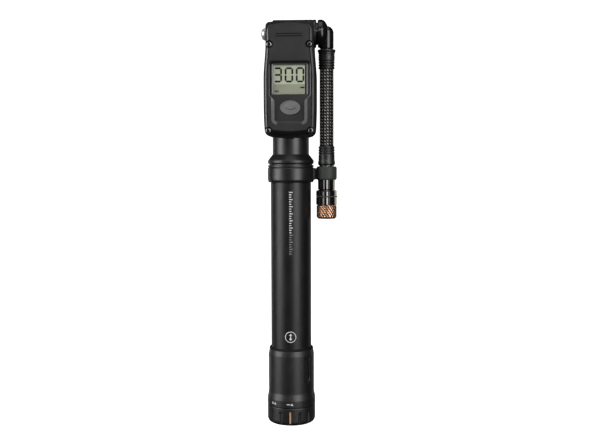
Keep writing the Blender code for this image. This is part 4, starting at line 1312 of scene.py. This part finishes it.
def make_chuck():
    low, high = span("chuck_body")
    centre = (low.x + high.x) / 2
    radius = high.x - centre
    here = (centre, 0, 0)
    body = eased([(4.95, high.z + 0.55), (4.95, high.z), (5.3, high.z, 0.2),
                  (radius, high.z - 0.45, 0.2), (radius, 156.4, 0.3),
                  (5.45, 155.9, 0.1), (5.2, 155.9), (5.2, 155.5), (2.6, 155.5), (2.6, 147.8),
                  (3.6, 147.8), (3.6, low.z), (1.6, low.z), (1.6, 164.3), (3.3, 164.3),
                  (3.3, high.z + 0.55)])
    barrel = piece("chuck_barrel", turned(body, place=here, steps=128), "hose",
                   "gloss_black_chuck", "chuck_body")

    low, high = span("chuck_sleeve")
    radius = high.x - centre + 0.2
    sleeve = eased([(5.5, high.z, 0.1), (6.6, high.z - 0.25, 0.3), (radius, high.z - 0.8, 0.3),
                    (radius, 152.05, 0.1), (6.4, 152.0), (6.4, 150.8), (radius, 150.75, 0.1),
                    (radius, low.z + 0.35, 0.15), (6.5, low.z, 0.1), (4.95, low.z),
                    (4.95, low.z + 4.2), (2.9, low.z + 4.2), (2.9, high.z)])
    sleeve = piece("chuck_sleeve_turned", turned(sleeve, place=here, steps=128), "hose",
                   "gloss_black_chuck", "chuck_sleeve")
    light_chuck([barrel, sleeve], bpy.data.objects["braided_hose"])

    low, high = span("chuck_ring")
    middle = (low.z + high.z) / 2
    wire = (high.z - low.z) / 2 + 0.08
    ring_r = high.x - centre - wire + 0.2
    ring = [(ring_r + wire * math.cos(a), middle - wire * math.sin(a)) for a in angles(16)]
    piece("chuck_o_ring", turned(ring, place=here, steps=128), "hose", "ring_grey", "chuck_ring")

    low, high = span("knurled_collar")
    radius = high.x - centre + 0.3
    top = 145.5
    bottom = low.z - 0.6
    outer = [(4.55, high.z), (4.55, top), (radius - 0.35, top), (radius - 0.05, top - 0.3)]
    outer += dense((radius, top - 0.35), (radius, bottom + 1.3), 60)
    outer += dense((radius, bottom + 1.3), (5.75, bottom + 0.1), 12)
    outer += [(5.6, bottom), (4.4, bottom), (3.95, bottom + 0.5), (3.95, high.z - 1.4),
              (3.0, high.z - 1.4), (3.0, high.z)]
    ring = turned(outer, place=here, steps=440, relief=knurl)

    # Faces deep in one set of knurl grooves are painted with shade.
    def in_groove(spot):
        x, y = spot.x - centre, spot.y
        deep = knurl_cut(math.atan2(y, x), spot.z, 1)
        return deep > 0.15 and spot.z < top - 0.35 and math.hypot(x, y) > 5.2

    piece("knurled_ring", finished(ring, 1, in_groove), "chuck_collar", "copper_collar",
          "knurled_collar", crisp=50, others=("copper_painted_groove_shade",))


# ---------------------------------------------------------------- whole pump

def dress_frame():
    """Every CAD node takes the finish of its slot; the ones that are replaced aren't shown."""
    slots = {entry["node"]: entry["material_slot"] for entry in frame["record"]["subparts"]}
    for name, node in frame["nodes"].items():
        node.data.materials.clear()
        node.data.materials.append(LOOKS[slots[name]])


LOOKS = make_looks()
make_camera()
make_studio()
dress_frame()
make_barrel()
make_grip()
make_dial()
make_marks()
make_collar_and_neck()
make_clip()
make_housing()
make_cover()
make_screws()
make_display()
make_key()
make_battery_door()
make_valve_body()
make_swivel()
make_hose()
make_ferrules()
make_chuck()
